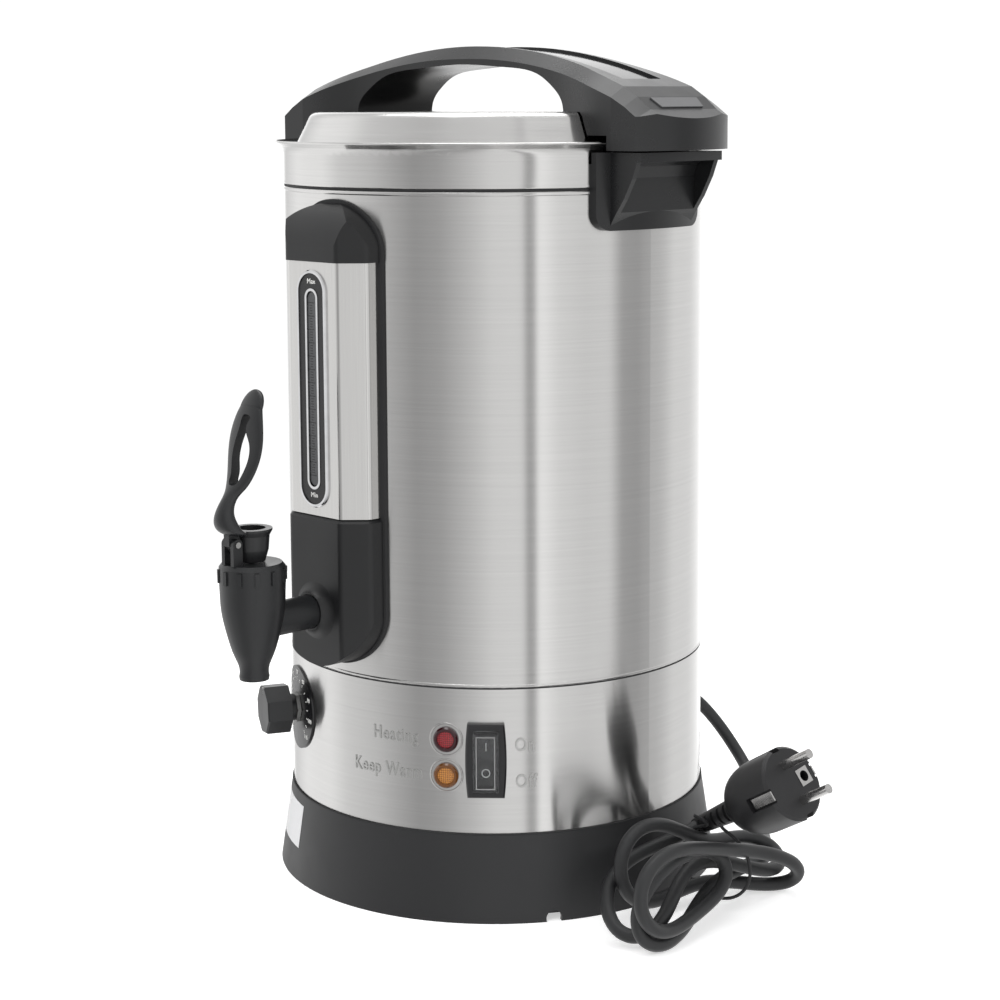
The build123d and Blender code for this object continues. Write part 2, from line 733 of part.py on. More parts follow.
lever_sections = (
    (-8.6, 199.4, 7.6, 1.7),
    (-13.6, 201.8, 8.0, 3.6),
    (-16.1, 206.3, 6.4, 4.6),
    (-15.5, 210.9, 4.9, 3.8),
    (-13.2, 215.7, 4.1, 3.0),
    (-9.3, 221.0, 6.5, 2.8),
    (-5.0, 230.2, 10.6, 2.8),
    (-2.7, 239.7, 12.4, 2.8),
    (-1.0, 249.2, 11.4, 2.8),
    (1.5, 258.8, 8.0, 2.5),
    (4.5, 265.5, 3.0, 1.6),
)
cup_floor = 184.2
tongue_half = 2.0
with BuildPart() as tap_lever:
    last = len(lever_sections) - 1
    for i, (y, z, half_x, half_t) in enumerate(lever_sections):
        before = lever_sections[max(i - 1, 0)]
        after = lever_sections[min(i + 1, last)]
        along = (0, after[0] - before[0], after[1] - before[1])
        with BuildSketch(Plane(origin=(0, tap_axis_y + y, z), x_dir=(1, 0, 0), z_dir=along)):
            Ellipse(half_x, half_t)
    loft()
    with BuildSketch(Plane.XZ.offset(-tap_axis_y - 16)):
        with BuildLine():
            Spline(
                (0, 222.5),
                (3.9, 226.5),
                (5.9, 233.5),
                (5.2, 243),
                (2.6, 252),
                (0, 256),
                tangents=((1, 0), (-1, 0)),
            )
            Spline(
                (0, 256),
                (-2.6, 252),
                (-5.2, 243),
                (-5.9, 233.5),
                (-3.9, 226.5),
                (0, 222.5),
                tangents=((-1, 0), (1, 0)),
            )
        make_face()
    extrude(amount=40, mode=Mode.SUBTRACT)
    with BuildSketch(tap_plane):
        polygon((0, cup_floor), (6.5, cup_floor), (8.2, 190), (8.8, 197), (10.2, 199.4), (10.2, 200.4), (0, 200.4))
    revolve(axis=tap_axis)
    with BuildSketch(tap_plane):
        polygon((0, cup_floor + 2.2), (5.6, cup_floor + 2.2), (6.6, 190), (7.0, 204), (0, 204))
    revolve(axis=tap_axis, mode=Mode.SUBTRACT)
    with BuildSketch(Plane.YZ):
        with BuildLine():
            Polyline(
                (tap_axis_y - 7.6, 187),
                (tap_axis_y - 7.6, 200),
                (tap_axis_y - 15.5, 202),
                (tap_axis_y - 15.2, 193.5),
                (tap_axis_y - 13, 190.8),
                close=True,
            )
        make_face()
    extrude(amount=tongue_half, both=True)
    with BuildSketch(Plane(origin=(0, tap_axis_y - 1.55, cup_floor - 1))):
        SlotOverall(6.9, 3.8, rotation=90)
    extrude(amount=5, mode=Mode.SUBTRACT)
    with BuildSketch(Plane.YZ):
        with Locations((pivot_y, pivot_z)):
            Circle(pivot_pin_r + slip)
    extrude(amount=20, both=True, mode=Mode.SUBTRACT)
    for side in (-1, 1):
        with BuildSketch(Plane(origin=(side * (tongue_half + 0.1), 0, 0), x_dir=(0, side, 0), z_dir=(side, 0, 0))):
            with Locations((side * pivot_y, pivot_z)):
                Circle(3.3)
        extrude(amount=10, mode=Mode.SUBTRACT)

# ---- carrying brackets ----
bracket_half = 37.6
bracket_low = 341.8
shelf_low = 375.0
shelf_x = body_r + 20.0
shelf_top = 379.5


def side_bracket(side):
    with BuildPart() as bracket:
        with BuildSketch(Plane.YZ.offset(body_r - 30)):
            with Locations((0, (bracket_low + shelf_top + 16) / 2)):
                RectangleRounded(2 * bracket_half, shelf_top + 16 - bracket_low, 8)
        extrude(amount=60)
        Cylinder(body_r + 4.5, cut_height, mode=Mode.INTERSECT)
        with BuildSketch(Plane.XZ):
            polygon(
                (body_r - 10, 343.5),
                (body_r, 343.5),
                (body_r + 3, 348.5),
                (body_r + 9, 357),
                (body_r + 14.5, 367),
                (body_r + 18, 376),
                (body_r + 18, shelf_top),
                (body_r - 10, shelf_top),
            )
        extrude(amount=30, both=True)
        with BuildSketch(Plane.XZ):
            polygon(
                (body_r + 4.5, 330),
                (body_r + 30, 330),
                (body_r + 30, shelf_low),
                (body_r + 11, shelf_low),
                (body_r + 6.5, 372.5),
                (body_r + 4.5, 367),
            )
        extrude(amount=27, both=True, mode=Mode.SUBTRACT)
        with BuildSketch(Plane.XY.offset(shelf_low)):
            with BuildLine():
                Polyline((shelf_x, -30), (body_r - 10, -30), (body_r - 10, 30), (shelf_x, 30))
                ThreePointArc((shelf_x, 30), (shelf_x + 1.5, 0), (shelf_x, -30))
            make_face()
        extrude(amount=shelf_top - shelf_low)
        block(Plane.XY.offset(shelf_top), 400, 400, 30, Mode.SUBTRACT)
        Cylinder(body_r + slip, cut_height, mode=Mode.SUBTRACT)
        disc(Plane.XY.offset(374), body_r + 1.6, 10, Mode.SUBTRACT)
        for lean in (-bracket_screw_angle, bracket_screw_angle):
            disc(facing(90 + lean, bracket_screw_z, body_r - 5), 1.75, 8.9, Mode.SUBTRACT)
    if side < 0:
        with BuildPart() as flipped:
            add(bracket.part.mirror(Plane.YZ))
        return flipped
    return bracket


bracket_right = side_bracket(1)
bracket_left = side_bracket(-1)

with BuildPart() as bracket_screws:
    for azimuth in bracket_azimuths:
        disc(facing(azimuth, bracket_screw_z, body_r - 3), 3.5, 2.0)
        disc(facing(azimuth, bracket_screw_z, body_r - 1), 1.7, 4.6)

# ---- lid ----
lid_line = lid_top - sheet / 2
screw_spots = [(sx * handle_screw_x, sy * handle_screw_y) for sx in (-1, 1) for sy in (-1, 1)]
with BuildPart() as lid_shell:
    with BuildSketch(Plane.XZ):
        with BuildLine():
            FilletPolyline(
                (0, lid_line),
                (body_r - 15, lid_line),
                (body_r - 7.6, 383.4),
                (body_r + 0.5, 383.4),
                radius=[4.5, 1.2],
            )
        trace(line_width=sheet)
        with Locations((body_r - 6.4, 376.7)):
            Rectangle(sheet, 13.4)
    revolve(axis=Axis.Z)
    for x, y in screw_spots:
        disc(flat_at((x, y, 390)), 2.2, 15, Mode.SUBTRACT)
    with BuildSketch(Plane(origin=(0, 0, 390))):
        with Locations(Location(ring_point(body_r - 22.75, -55.0), 35)):
            SlotOverall(21.6, 5)
    extrude(amount=15, mode=Mode.SUBTRACT)

with BuildPart() as lid_seal:
    with BuildSketch(Plane.XY.offset(379.5)):
        Circle(body_r - 1.1)
        Circle(body_r - 5.7, mode=Mode.SUBTRACT)
    extrude(amount=3.2)

# ---- lid handle ----
crest_z = 432.3
crest_drop = 21.283
handle_bottom = 380.4
tail_x = body_r + 20.0
arch_half = body_r - 33.6
crease_x = body_r + 4.5
crest_bend = crease_x**2 / crest_drop
half_widths = tuple(
    (crease_x * share, half)
    for share, half in (
        (0, 24.0),
        (0.2183, 24.2),
        (0.4367, 24.8),
        (0.5502, 25.7),
        (0.6638, 27.2),
        (0.7598, 29.6),
        (0.8472, 32.0),
        (0.9258, 33.5),
        (1, 34.3),
    )
)


def crest(x):
    return crest_z - x * x / crest_bend


def handle_section(x, half, top, bevel_in, bevel_down):
    with BuildSketch(Plane(origin=(x, 0, 0), x_dir=(0, 1, 0), z_dir=(1, 0, 0))) as section:
        polygon(
            (-half, handle_bottom),
            (half, handle_bottom),
            (half, top - bevel_down),
            (half - bevel_in, top),
            (-half + bevel_in, top),
            (-half, top - bevel_down),
        )
    return section.sketch


def handle_strip(half, low, high, reach):
    """Sections of a strip that follows the crest of the handle."""
    strip = []
    for k in range(-6, 7):
        x = reach * k / 6
        with BuildSketch(Plane(origin=(x, 0, crest(x)), x_dir=(0, 1, 0), z_dir=(1, 0, 0))) as section:
            with Locations((0, (low + high) / 2)):
                Rectangle(2 * half, high - low)
        strip.append(section.sketch)
    return strip


middle_sections = []
for x, half in [(-x, w) for x, w in reversed(half_widths[1:])] + list(half_widths):
    lean = abs(x) / crease_x
    middle_sections.append(handle_section(x, half, crest(x), 7.2 + 2.1 * lean, 6.5 - 1.3 * lean))

inlay_reach = body_r - 6.0
with BuildPart() as inlay_bed:
    loft(sections=handle_strip(14.0, -2.6, 3.0, inlay_reach))

with BuildPart() as lid_handle:
    loft(sections=middle_sections)
    for side in (-1, 1):
        end_sections = [
            handle_section(side * crease_x, 34.3, crest(crease_x), 9.3, 5.2),
            handle_section(side * (crease_x + 8.5), 34.3, 406, 9.3, 4.6),
            handle_section(side * (crease_x + 16.5), 34.3, 400, 10.0, 4.0),
            handle_section(side * (crease_x + 26.5), 34.3, 394.9, 11.0, 3.4),
        ]
        loft(sections=end_sections, ruled=True)
    with BuildSketch(Plane.XY.offset(370)):
        with BuildLine():
            Line((-tail_x, 40), (tail_x, 40))
            Polyline((tail_x, 40), (tail_x, 34.3))
            ThreePointArc((tail_x, 34.3), (tail_x + 9.5, 0), (tail_x, -34.3))
            Polyline((tail_x, -34.3), (tail_x, -40), (-tail_x, -40), (-tail_x, -34.3))
            ThreePointArc((-tail_x, -34.3), (-tail_x - 9.5, 0), (-tail_x, 34.3))
            Polyline((-tail_x, 34.3), (-tail_x, 40))
        make_face()
    extrude(amount=80, mode=Mode.INTERSECT)
    with BuildSketch(Plane.XZ):
        polygon(
            (0, 375),
            (0, lid_top + 0.02),
            (body_r - 18, lid_top + 0.02),
            (body_r - 14.4, 398.9),
            (body_r - 12, 396.6),
            (body_r - 11.4, 394.8),
            (body_r - 7.9, 387.6),
            (body_r + 6.5, 387.6),
            (body_r + 6.5, 375),
        )
    revolve(axis=Axis.Z, mode=Mode.SUBTRACT)
    with BuildSketch(Plane.XZ):
        with BuildLine():
            Spline(
                (-arch_half, lid_top - 1),
                (1.9 - arch_half, 405),
                (8.9 - arch_half, 411.5),
                (17.4 - arch_half, 416.6),
                (43.4 - arch_half, 421.2),
                (0, 423),
                (arch_half - 43.4, 421.2),
                (arch_half - 17.4, 416.6),
                (arch_half - 8.9, 411.5),
                (arch_half - 1.9, 405),
                (arch_half, lid_top - 1),
            )
            Line((arch_half, lid_top - 1), (-arch_half, lid_top - 1))
        make_face()
    extrude(amount=60, both=True, mode=Mode.SUBTRACT)
    for side in (-1, 1):
        block(flat_at((side * (handle_screw_x + 1), 0, lid_top - 1)), 14, 44, 14, Mode.SUBTRACT)
    for x, y in screw_spots:
        disc(flat_at((x, y, lid_top)), 4.5, 14)
        disc(flat_at((x, y, lid_top)), 1.75, 10, Mode.SUBTRACT)
    add(inlay_bed.part, mode=Mode.SUBTRACT)

with BuildPart() as handle_inlay:
    loft(sections=handle_strip(13.9, -2.58, -1.3, inlay_reach - 0.1))

with BuildPart() as handle_badges:
    for side in (-1, 1):
        badge_plane = Plane(origin=(side * (crease_x + 12.5), 0, 403.02), x_dir=(0, 1, 0), z_dir=(side * 6.0, 0, 8.0))
        with BuildSketch(badge_plane):
            Trapezoid(34, 7.4, 76, rotation=0 if side < 0 else 180)
        extrude(amount=0.6)

with BuildPart() as handle_screws:
    for x, y in screw_spots:
        disc(flat_at((x, y, lid_top - sheet - 2.0)), 4.0, 2.0)
        disc(flat_at((x, y, lid_top - sheet)), 1.7, 9.0)

# ---- mains cord ----
cord_points = [
    ring_point(body_r + 24.00, 90.00, 61),
    ring_point(body_r + 35.00, 90.00, 61),
    ring_point(body_r + 47.00, 89.64, 56.5),
    ring_point(body_r + 57.55, 88.63, 47.5),
    ring_point(body_r + 65.29, 86.73, 36),
    ring_point(body_r + 69.46, 84.08, 24),
    ring_point(body_r + 69.44, 80.54, 13.8),
    ring_point(body_r + 64.14, 76.04, 7),
    ring_point(body_r + 55.75, 70.25, 4.1),
    ring_point(body_r + 45.68, 62.04, 3.5),
    ring_point(body_r + 37.43, 51.89, 3.8),
    ring_point(body_r + 35.25, 41.37, 6),
    ring_point(body_r + 37.03, 32.50, 9.5),
    ring_point(body_r + 39.37, 26.22, 11),
]


def bend_radii(points):
    radii = []
    for i in range(1, len(points) - 1):
        before = points[i] - points[i - 1]
        after = points[i + 1] - points[i]
        half_turn = math.radians(before.get_angle(after)) / 2
        radii.append(0.45 * min(before.length, after.length) / math.tan(half_turn))
    return radii


cord_radii = bend_radii(cord_points)
with BuildPart() as power_cord:
    with BuildLine():
        cord_run = FilletPolyline(*cord_points, radius=cord_radii)
    with BuildSketch(Plane(origin=cord_run @ 0, z_dir=cord_run % 0)):
        Circle(cord_r)
    sweep()

with BuildPart() as cord_gland:
    with BuildSketch(turned(180, gland_z)):
        polygon(
            (0, body_r - 10),
            (gland_r, body_r - 10),
            (gland_r, body_r + 0.1),
            (9.5, body_r + 0.1),
            (9.5, body_r + 3.0),
            (6.4, body_r + 4.5),
            (4.6, body_r + 24.0),
            (0, body_r + 24.0),
        )
    revolve(axis=outward(180, gland_z))

hank_sections = (
    (-76, 54, 28, 4, 11),
    (-71, 51, 27, 10, 19),
    (-64, 43, 26, 18, 24.5),
    (-50, 37, 26.3, 25, 25.8),
    (-30, 35, 27, 25, 25),
    (-10, 33.5, 27, 23.5, 21.5),
    (8, 34, 23.5, 21.5, 17.5),
    (22, 35.5, 21, 20.4, 17.2),
    (45, 38.5, 15.5, 20, 14),
    (58, 37, 14.5, 18.5, 12),
    (66, 31, 13.5, 11.5, 8.5),
    (73, 24, 11.5, 4.5, 4),
)
with BuildPart() as cord_hank:
    for y, x, z, half_x, half_z in hank_sections:
        with BuildSketch(Plane(origin=(body_r + x, y, z), x_dir=(1, 0, 0), z_dir=(0, 1, 0))):
            Ellipse(half_x, half_z)
    loft()

with BuildPart() as cord_tie:
    with BuildSketch(Plane(origin=(body_r + 34.5, 11, 22.7), x_dir=(1, 0, 0), z_dir=(0, 1, 0))):
        Ellipse(23.1, 19.4)
        Ellipse(21.9, 18.2, mode=Mode.SUBTRACT)
    extrude(amount=1.6)

# ---- plug ----
plug_start = Vector(body_r + 15.0, 20.5, 35.5)
plug_axis = Vector(0.86, -0.05, 0.507).normalized()
pin_line = Vector(0.507, 0.160, -0.845)
pin_line = (pin_line - plug_axis * pin_line.dot(plug_axis)).normalized()
boot_length = 34.0
plug_length = 74.5


def plug_plane(along):
    return Plane(origin=plug_start + plug_axis * along, x_dir=pin_line, z_dir=plug_axis)


def plug_offset(along, across, aside):
    base = plug_plane(along)
    return Plane(
        origin=base.origin + base.x_dir * across + base.y_dir * aside,
        x_dir=base.x_dir,
        z_dir=base.z_dir,
    )


with BuildPart() as plug_body:
    boot_side = Plane(origin=plug_start, x_dir=pin_line, z_dir=pin_line.cross(plug_axis))
    with BuildSketch(boot_side):
        with BuildLine():
            Polyline((0, 0), (4.3, 0), (6.2, boot_length), (8.5, boot_length + 1))
            Spline((8.5, boot_length + 1), (13.5, boot_length + 4), (17.6, boot_length + 12), (18.6, boot_length + 20))
            Polyline((18.6, boot_length + 20), (18.9, plug_length - 1.5), (17.6, plug_length), (0, plug_length), (0, 0))
        make_face()
    revolve(axis=Axis(plug_start, plug_axis))
    for k in range(5):
        along = 6.0 + 5.2 * k
        with BuildSketch(plug_plane(along)):
            Rectangle(30, 30)
            Rectangle(30, 7.0, mode=Mode.SUBTRACT)
        extrude(amount=1.8, mode=Mode.SUBTRACT)
    for side in (-1, 1):
        disc(plug_offset(plug_length - 10, side * pin_spacing / 2, 0), shank_r + slip, 12, Mode.SUBTRACT)
        block(plug_offset(plug_length - 16, 0, side * 18.6), 7.4, 5.0, 17, Mode.SUBTRACT)
        block(plug_offset(plug_length - 16, side * 19.6, 0), 6.0, 5.0, 17, Mode.SUBTRACT)
    disc(plug_offset(plug_length - 12, 0, 9.0), 2.7, 13, Mode.SUBTRACT)

with BuildPart() as plug_pins:
    for side in (-1, 1):
        disc(plug_offset(plug_length - 10, side * pin_spacing / 2, 0), shank_r, 10)
        disc(plug_offset(plug_length, side * pin_spacing / 2, 0), pin_r, pin_length)

with BuildPart() as plug_earth_clips:
    for side in (-1, 1):
        block(plug_offset(plug_length - 14, 0, side * 16.9), 5.0, 0.9, 14)

# ---- inside the base ----
block_y = body_r - 12.5
with BuildPart() as terminal_block:
    block(flat_at((0, block_y, skirt_top)), 26, 13, 9)
    for x in (-8, 0, 8):
        block(flat_at((x, block_y, skirt_top + 9)), 5.5, 11, 2.5)

wire_r = 1.2
block_top = skirt_top + 11.5
left_post = ring_point(element_ring_r, terminal_angles[1], 94.0)
right_post = ring_point(element_ring_r, terminal_angles[0], 93.0)
wire_routes = (
    ((-8, block_y, block_top), (-8, block_y, 70), (-10, 80, 92), left_post, left_post + Vector(0, 0, 6)),
    ((8, block_y, block_top), (8, block_y, 68), (11, 80, 90), right_post, right_post + Vector(0, 0, 7)),
    (
        (0, block_y, block_top),
        (0, block_y, 64),
        (40, 40, 66),
        facing(switch_azimuth + 1.8, 78, body_r - 40).origin,
        facing(switch_azimuth, switch_z, body_r - 30).origin,
    ),
)
with BuildPart() as inner_wiring:
    for route in wire_routes:
        with BuildLine():
            line = FilletPolyline(*route, radius=3.5)
        with BuildSketch(Plane(origin=line @ 0, z_dir=line % 0)):
            Circle(wire_r)
        sweep()

pieces = {
    "base_skirt": base_skirt,
    "bottom_cover": bottom_cover,
    "rubber_feet": rubber_feet,
    "foot_screws": foot_screws,
    "control_band": control_band,
    "outer_shell": outer_shell,
    "tank": tank,
    "heat_plate": heat_plate,
    "heating_element": heating_element,
    "thermal_cutout": thermal_cutout,
    "thermostat_bulb": thermostat_bulb,
    "thermostat_body": thermostat_body,
    "thermostat_nut": thermostat_nut,
    "dial_plate": dial_plate,
    "dial_knob": dial_knob,
    "thermostat_shaft": thermostat_shaft,
    "switch_housing": switch_housing,
    "switch_rocker": switch_rocker,
    "switch_boot": switch_boot,
    "lamp_red": lamp_red,
    "lamp_amber": lamp_amber,
    "lamp_bodies": lamp_bodies,
    "gauge_frame": gauge_frame,
    "gauge_panel": gauge_panel,
    "gauge_cap": gauge_cap,
    "gauge_lower_cover": gauge_lower_cover,
    "gauge_rim": gauge_rim,
    "gauge_face": gauge_face,
    "gauge_slot_rim": gauge_slot_rim,
    "sight_glass": sight_glass,
    "sight_fittings": sight_fittings,
    "tap_body": tap_body,
    "tap_washers": tap_washers,
    "tap_nut": tap_nut,
    "tap_bonnet": tap_bonnet,
    "lever_pin": lever_pin,
    "tap_stem": tap_stem,
    "stem_seal": stem_seal,
    "tap_spring": tap_spring,
    "tap_lever": tap_lever,
    "bracket_right": bracket_right,
    "bracket_left": bracket_left,
    "bracket_screws": bracket_screws,
    "lid_shell": lid_shell,
    "lid_seal": lid_seal,
    "lid_handle": lid_handle,
    "handle_inlay": handle_inlay,
    "handle_badges": handle_badges,
    "handle_screws": handle_screws,
    "power_cord": power_cord,
    "cord_gland": cord_gland,
    "cord_hank": cord_hank,
    "cord_tie": cord_tie,
    "plug_body": plug_body,
    "plug_pins": plug_pins,
    "plug_earth_clips": plug_earth_clips,
    "terminal_block": terminal_block,
    "inner_wiring": inner_wiring,
}

for name, piece in pieces.items():
    piece.part.label = name
    export_step(piece.part, "parts/" + name + ".step")

print("cord radii:", [round(r, 1) for r in cord_radii])
print("cord tube length:", round(cord_run.length, 1))
print("cord tube volume over section:", round(power_cord.part.volume / (math.pi * cord_r**2), 1))
for name, piece in pieces.items():
    box = piece.part.bounding_box()
    print(name, piece.part.is_valid, len(piece.part.solids()), round(piece.part.volume),
          [round(v, 1) for v in (*box.min, *box.max)])
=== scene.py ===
import math
import bmesh
import bpy
from mathutils import Matrix, Vector


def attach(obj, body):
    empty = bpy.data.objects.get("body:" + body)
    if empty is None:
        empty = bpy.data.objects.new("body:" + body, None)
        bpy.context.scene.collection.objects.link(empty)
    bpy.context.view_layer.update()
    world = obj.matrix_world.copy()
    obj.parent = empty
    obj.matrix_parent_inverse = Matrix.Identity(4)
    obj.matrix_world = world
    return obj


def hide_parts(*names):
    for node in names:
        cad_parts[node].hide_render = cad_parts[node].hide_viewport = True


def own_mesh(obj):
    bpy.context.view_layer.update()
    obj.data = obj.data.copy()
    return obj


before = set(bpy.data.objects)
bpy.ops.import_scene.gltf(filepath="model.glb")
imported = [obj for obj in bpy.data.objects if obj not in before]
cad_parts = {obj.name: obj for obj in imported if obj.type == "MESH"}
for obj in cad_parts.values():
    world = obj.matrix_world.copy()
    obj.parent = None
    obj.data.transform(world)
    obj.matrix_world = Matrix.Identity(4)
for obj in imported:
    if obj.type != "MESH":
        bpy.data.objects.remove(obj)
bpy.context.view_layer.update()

mm = 0.001
rightward = Vector((1, 0, 0))
upward = Vector((0, 0, 1))

# camera first
cameraSetting = {
    "place": (0.8432, -0.8303, 0.4054),
    "yaw": 2.3617,      # radians, from +X
    "pitch": -0.1336,
    "roll": -0.0053,
    "lens": 80.68,
    "sensor": 36,
    "shiftY": -0.10,
    "nearest": 0.05,
}


def makeCamera(values):
    yaw, pitch, roll = values["yaw"], values["pitch"], values["roll"]
    ahead = Vector((math.cos(pitch) * math.cos(yaw), math.cos(pitch) * math.sin(yaw), math.sin(pitch)))
    level = Vector((math.sin(yaw), -math.cos(yaw), 0))
    top = level.cross(ahead)
    right = level * math.cos(roll) + top * math.sin(roll)
    up = top * math.cos(roll) - level * math.sin(roll)
    data = bpy.data.cameras.new("urnCamera")
    data.lens = values["lens"]
    data.sensor_width = values["sensor"]
    data.shift_y = values["shiftY"]
    data.clip_start = values["nearest"]
    camera = bpy.data.objects.new("urnCamera", data)
    bpy.context.scene.collection.objects.link(camera)
    turn = Matrix((right, up, -ahead)).transposed().to_4x4()
    camera.matrix_world = Matrix.Translation(Vector(values["place"])) @ turn
    bpy.context.scene.camera = camera


makeCamera(cameraSetting)
print("camera set")

# mains lead: free run, then the tied bundle
leadSetting = {
    "thickness": 7.0,
    "exit": (0, 134, 61),
    "smooth": 8,
    "route": [
        # free run
        (0, 134, 61), (0, 145, 61), (1, 157, 56.5), (4, 167.5, 47.5), (10, 175, 36),
        (18.5, 178.5, 24), (29.5, 177, 13.8), (42, 169, 7), (56, 156, 4.1), (73, 137.5, 3.5),
        (91, 116, 3.8), (109, 96, 6.0), (124, 79, 9.5), (134, 66, 11),
        # first turn; the points of all four turns come from a separate fitting program, not from hand
        (139.3, 55.0, 12.5), (142.3, 44.2, 14.1), (144.3, 33.4, 15.2), (146.0, 22.6, 15.8),
        (148.1, 12.0, 15.8), (150.7, 1.5, 14.9), (153.7, -8.8, 12.9), (157.0, -18.8, 10.0),
        (160.5, -28.8, 6.8), (163.5, -39.0, 4.3), (165.3, -49.3, 3.2), (165.1, -59.0, 4.7),
        (163.4, -65.8, 10.3), (161.8, -67.1, 18.8), (161.0, -62.9, 27.0), (160.4, -55.2, 33.2),
        (159.7, -45.7, 37.3), (158.6, -35.4, 39.5), (157.6, -24.9, 40.1), (157.0, -14.6, 39.1),
        # second turn
        (157.3, -5.3, 36.1), (158.9, 0.9, 30.5), (161.3, 0.5, 23.3), (162.8, -6.2, 17.9),
        (163.9, -15.9, 14.7), (165.2, -26.6, 12.5), (166.8, -37.5, 10.9), (168.3, -48.4, 10.4),
        (169.3, -58.8, 12.4), (169.5, -67.3, 18.0), (169.0, -72.1, 26.4), (168.6, -72.1, 35.8),
        (168.5, -67.2, 43.7), (168.5, -59.0, 48.3), (168.1, -49.2, 49.5), (167.5, -39.0, 48.3),
        (166.6, -28.9, 45.8), (165.5, -18.8, 42.8), (164.5, -8.7, 39.8), (163.7, 1.4, 36.9),
        (163.3, 11.5, 34.0), (163.6, 21.5, 30.9), (164.5, 31.5, 27.4), (165.5, 41.1, 23.2),
        (165.7, 49.6, 17.9),
        # third turn
        (163.6, 55.6, 11.6), (158.3, 56.5, 5.7), (151.6, 51.8, 3.3), (145.7, 43.8, 3.9),
        (141.2, 34.4, 6.1), (137.6, 24.1, 8.6), (135.0, 13.1, 10.1), (133.5, 1.6, 9.7),
        (132.9, -10.1, 8.6), (132.8, -21.5, 8.4), (132.8, -32.1, 10.9), (132.8, -40.7, 16.8),
        (132.6, -45.6, 25.5), (132.0, -45.8, 34.9), (131.6, -41.0, 42.9), (131.3, -32.7, 47.6),
        (131.4, -22.7, 48.2), (131.7, -12.5, 45.6), (132.4, -2.7, 40.8), (132.9, 7.0, 35.4),
        (133.0, 17.1, 30.8), (132.1, 27.7, 28.1), (131.3, 38.6, 26.5), (131.5, 49.0, 24.8),
        # last turn, up to the plug
        (134.0, 57.9, 22.2), (139.3, 63.1, 18.2), (146.0, 61.7, 14.2), (151.1, 54.8, 12.3),
        (153.4, 45.3, 13.0), (153.4, 35.1, 15.8), (152.0, 25.0, 19.7), (150.1, 14.9, 23.7),
        (148.4, 4.6, 27.0), (148.0, -6.0, 28.3), (149.5, -16.3, 27.0), (152.3, -25.9, 23.2),
        (155.7, -34.9, 18.0), (158.1, -43.6, 12.5), (158.0, -52.1, 7.7), (153.8, -59.4, 5.6),
        (146.3, -62.6, 7.5), (138.5, -60.8, 12.0), (131.7, -55.4, 17.0), (126.3, -47.9, 21.6),
        (123.0, -39.0, 25.4), (121.4, -29.3, 28.3), (121.2, -19.3, 30.1), (122.2, -9.2, 31.4),
        (123.8, 0.8, 32.7), (125.6, 10.6, 34.6), (127.6, 20.4, 37.0),
    ],
}


def smoothLine(name, points, radius, detail):
    curve = bpy.data.curves.new(name, "CURVE")
    curve.dimensions = "3D"
    spline = curve.splines.new("NURBS")
    spline.points.add(len(points) - 1)
    for point, place in zip(spline.points, points):
        point.co = (place[0] * mm, place[1] * mm, place[2] * mm, 1)
    spline.order_u = 3
    spline.use_endpoint_u = True
    spline.resolution_u = detail
    curve.bevel_depth = radius * mm
    curve.bevel_resolution = 5
    curve.use_fill_caps = True
    piece = bpy.data.objects.new(name, curve)
    bpy.context.scene.collection.objects.link(piece)
    return piece


leadRadius = leadSetting["thickness"] / 2
mainsLead = smoothLine("mains_lead", leadSetting["route"], leadRadius, leadSetting["smooth"])
print("mains lead laid")

# node helpers; noise mostly lies between these two
noiseLow, noiseHigh = 0.3, 0.7


def feed(tree, node, parts):    # each input takes a link or a value
    for label, part in dict(parts).items():
        if hasattr(part, "links"):
            tree.links.new(part, node.inputs[label])
        else:
            node.inputs[label].default_value = part


def addNode(tree, kind, parts=(), **values):
    node = tree.nodes.new(kind)
    node.location = (180 * len(tree.nodes), 0)
    for key, value in values.items():
        setattr(node, key, value)
    feed(tree, node, parts)
    return node


def newGroup(name, inputs, outputs, kind="ShaderNodeTree"):
    group = bpy.data.node_groups.new(name, kind)
    for way, sockets in (("INPUT", inputs), ("OUTPUT", outputs)):
        for label, form in sockets.items():
            group.interface.new_socket(name=label, in_out=way, socket_type="NodeSocket" + form)
    return group, addNode(group, "NodeGroupInput").outputs, addNode(group, "NodeGroupOutput")


def vectorMath(tree, operation, first, second):
    node = addNode(tree, "ShaderNodeVectorMath", {0: first, 1: second}, operation=operation)
    return node.outputs["Value" if operation == "DOT_PRODUCT" else "Vector"]


def valueMath(tree, operation, *parts):
    return addNode(tree, "ShaderNodeMath", enumerate(parts), operation=operation).outputs[0]


def lengthOf(tree, first, second):
    squares = [valueMath(tree, "MULTIPLY", part, part) for part in (first, second)]
    return valueMath(tree, "SQRT", valueMath(tree, "ADD", *squares))


def joinAxes(tree, *parts):
    return addNode(tree, "ShaderNodeCombineXYZ", enumerate(parts)).outputs[0]


def splitAxes(tree, place):
    return addNode(tree, "ShaderNodeSeparateXYZ", {0: place}).outputs


def noiseAt(tree, place, scale, detail, roughness=0.5):
    parts = {"Vector": place, "Scale": scale, "Detail": detail, "Roughness": roughness}
    return addNode(tree, "ShaderNodeTexNoise", parts).outputs["Fac"]


def mapTo(tree, value, toLow, toHigh, fromLow=noiseLow, fromHigh=noiseHigh):
    parts = {"Value": value, "From Min": fromLow, "From Max": fromHigh, "To Min": toLow, "To Max": toHigh}
    return addNode(tree, "ShaderNodeMapRange", parts).outputs["Result"]


def mixTones(tree, share, first, second):
    parts = {"Factor": share, "A": first, "B": second}
    return addNode(tree, "ShaderNodeMix", parts, data_type="RGBA").outputs["Result"]


def toned(tone, part=1.0):
    return (*[channel * part for channel in tone], 1)


bumpStrength = {"steel": 0.6, "plastic": 0.7, "metal": 0.5, "lens": 0.9}


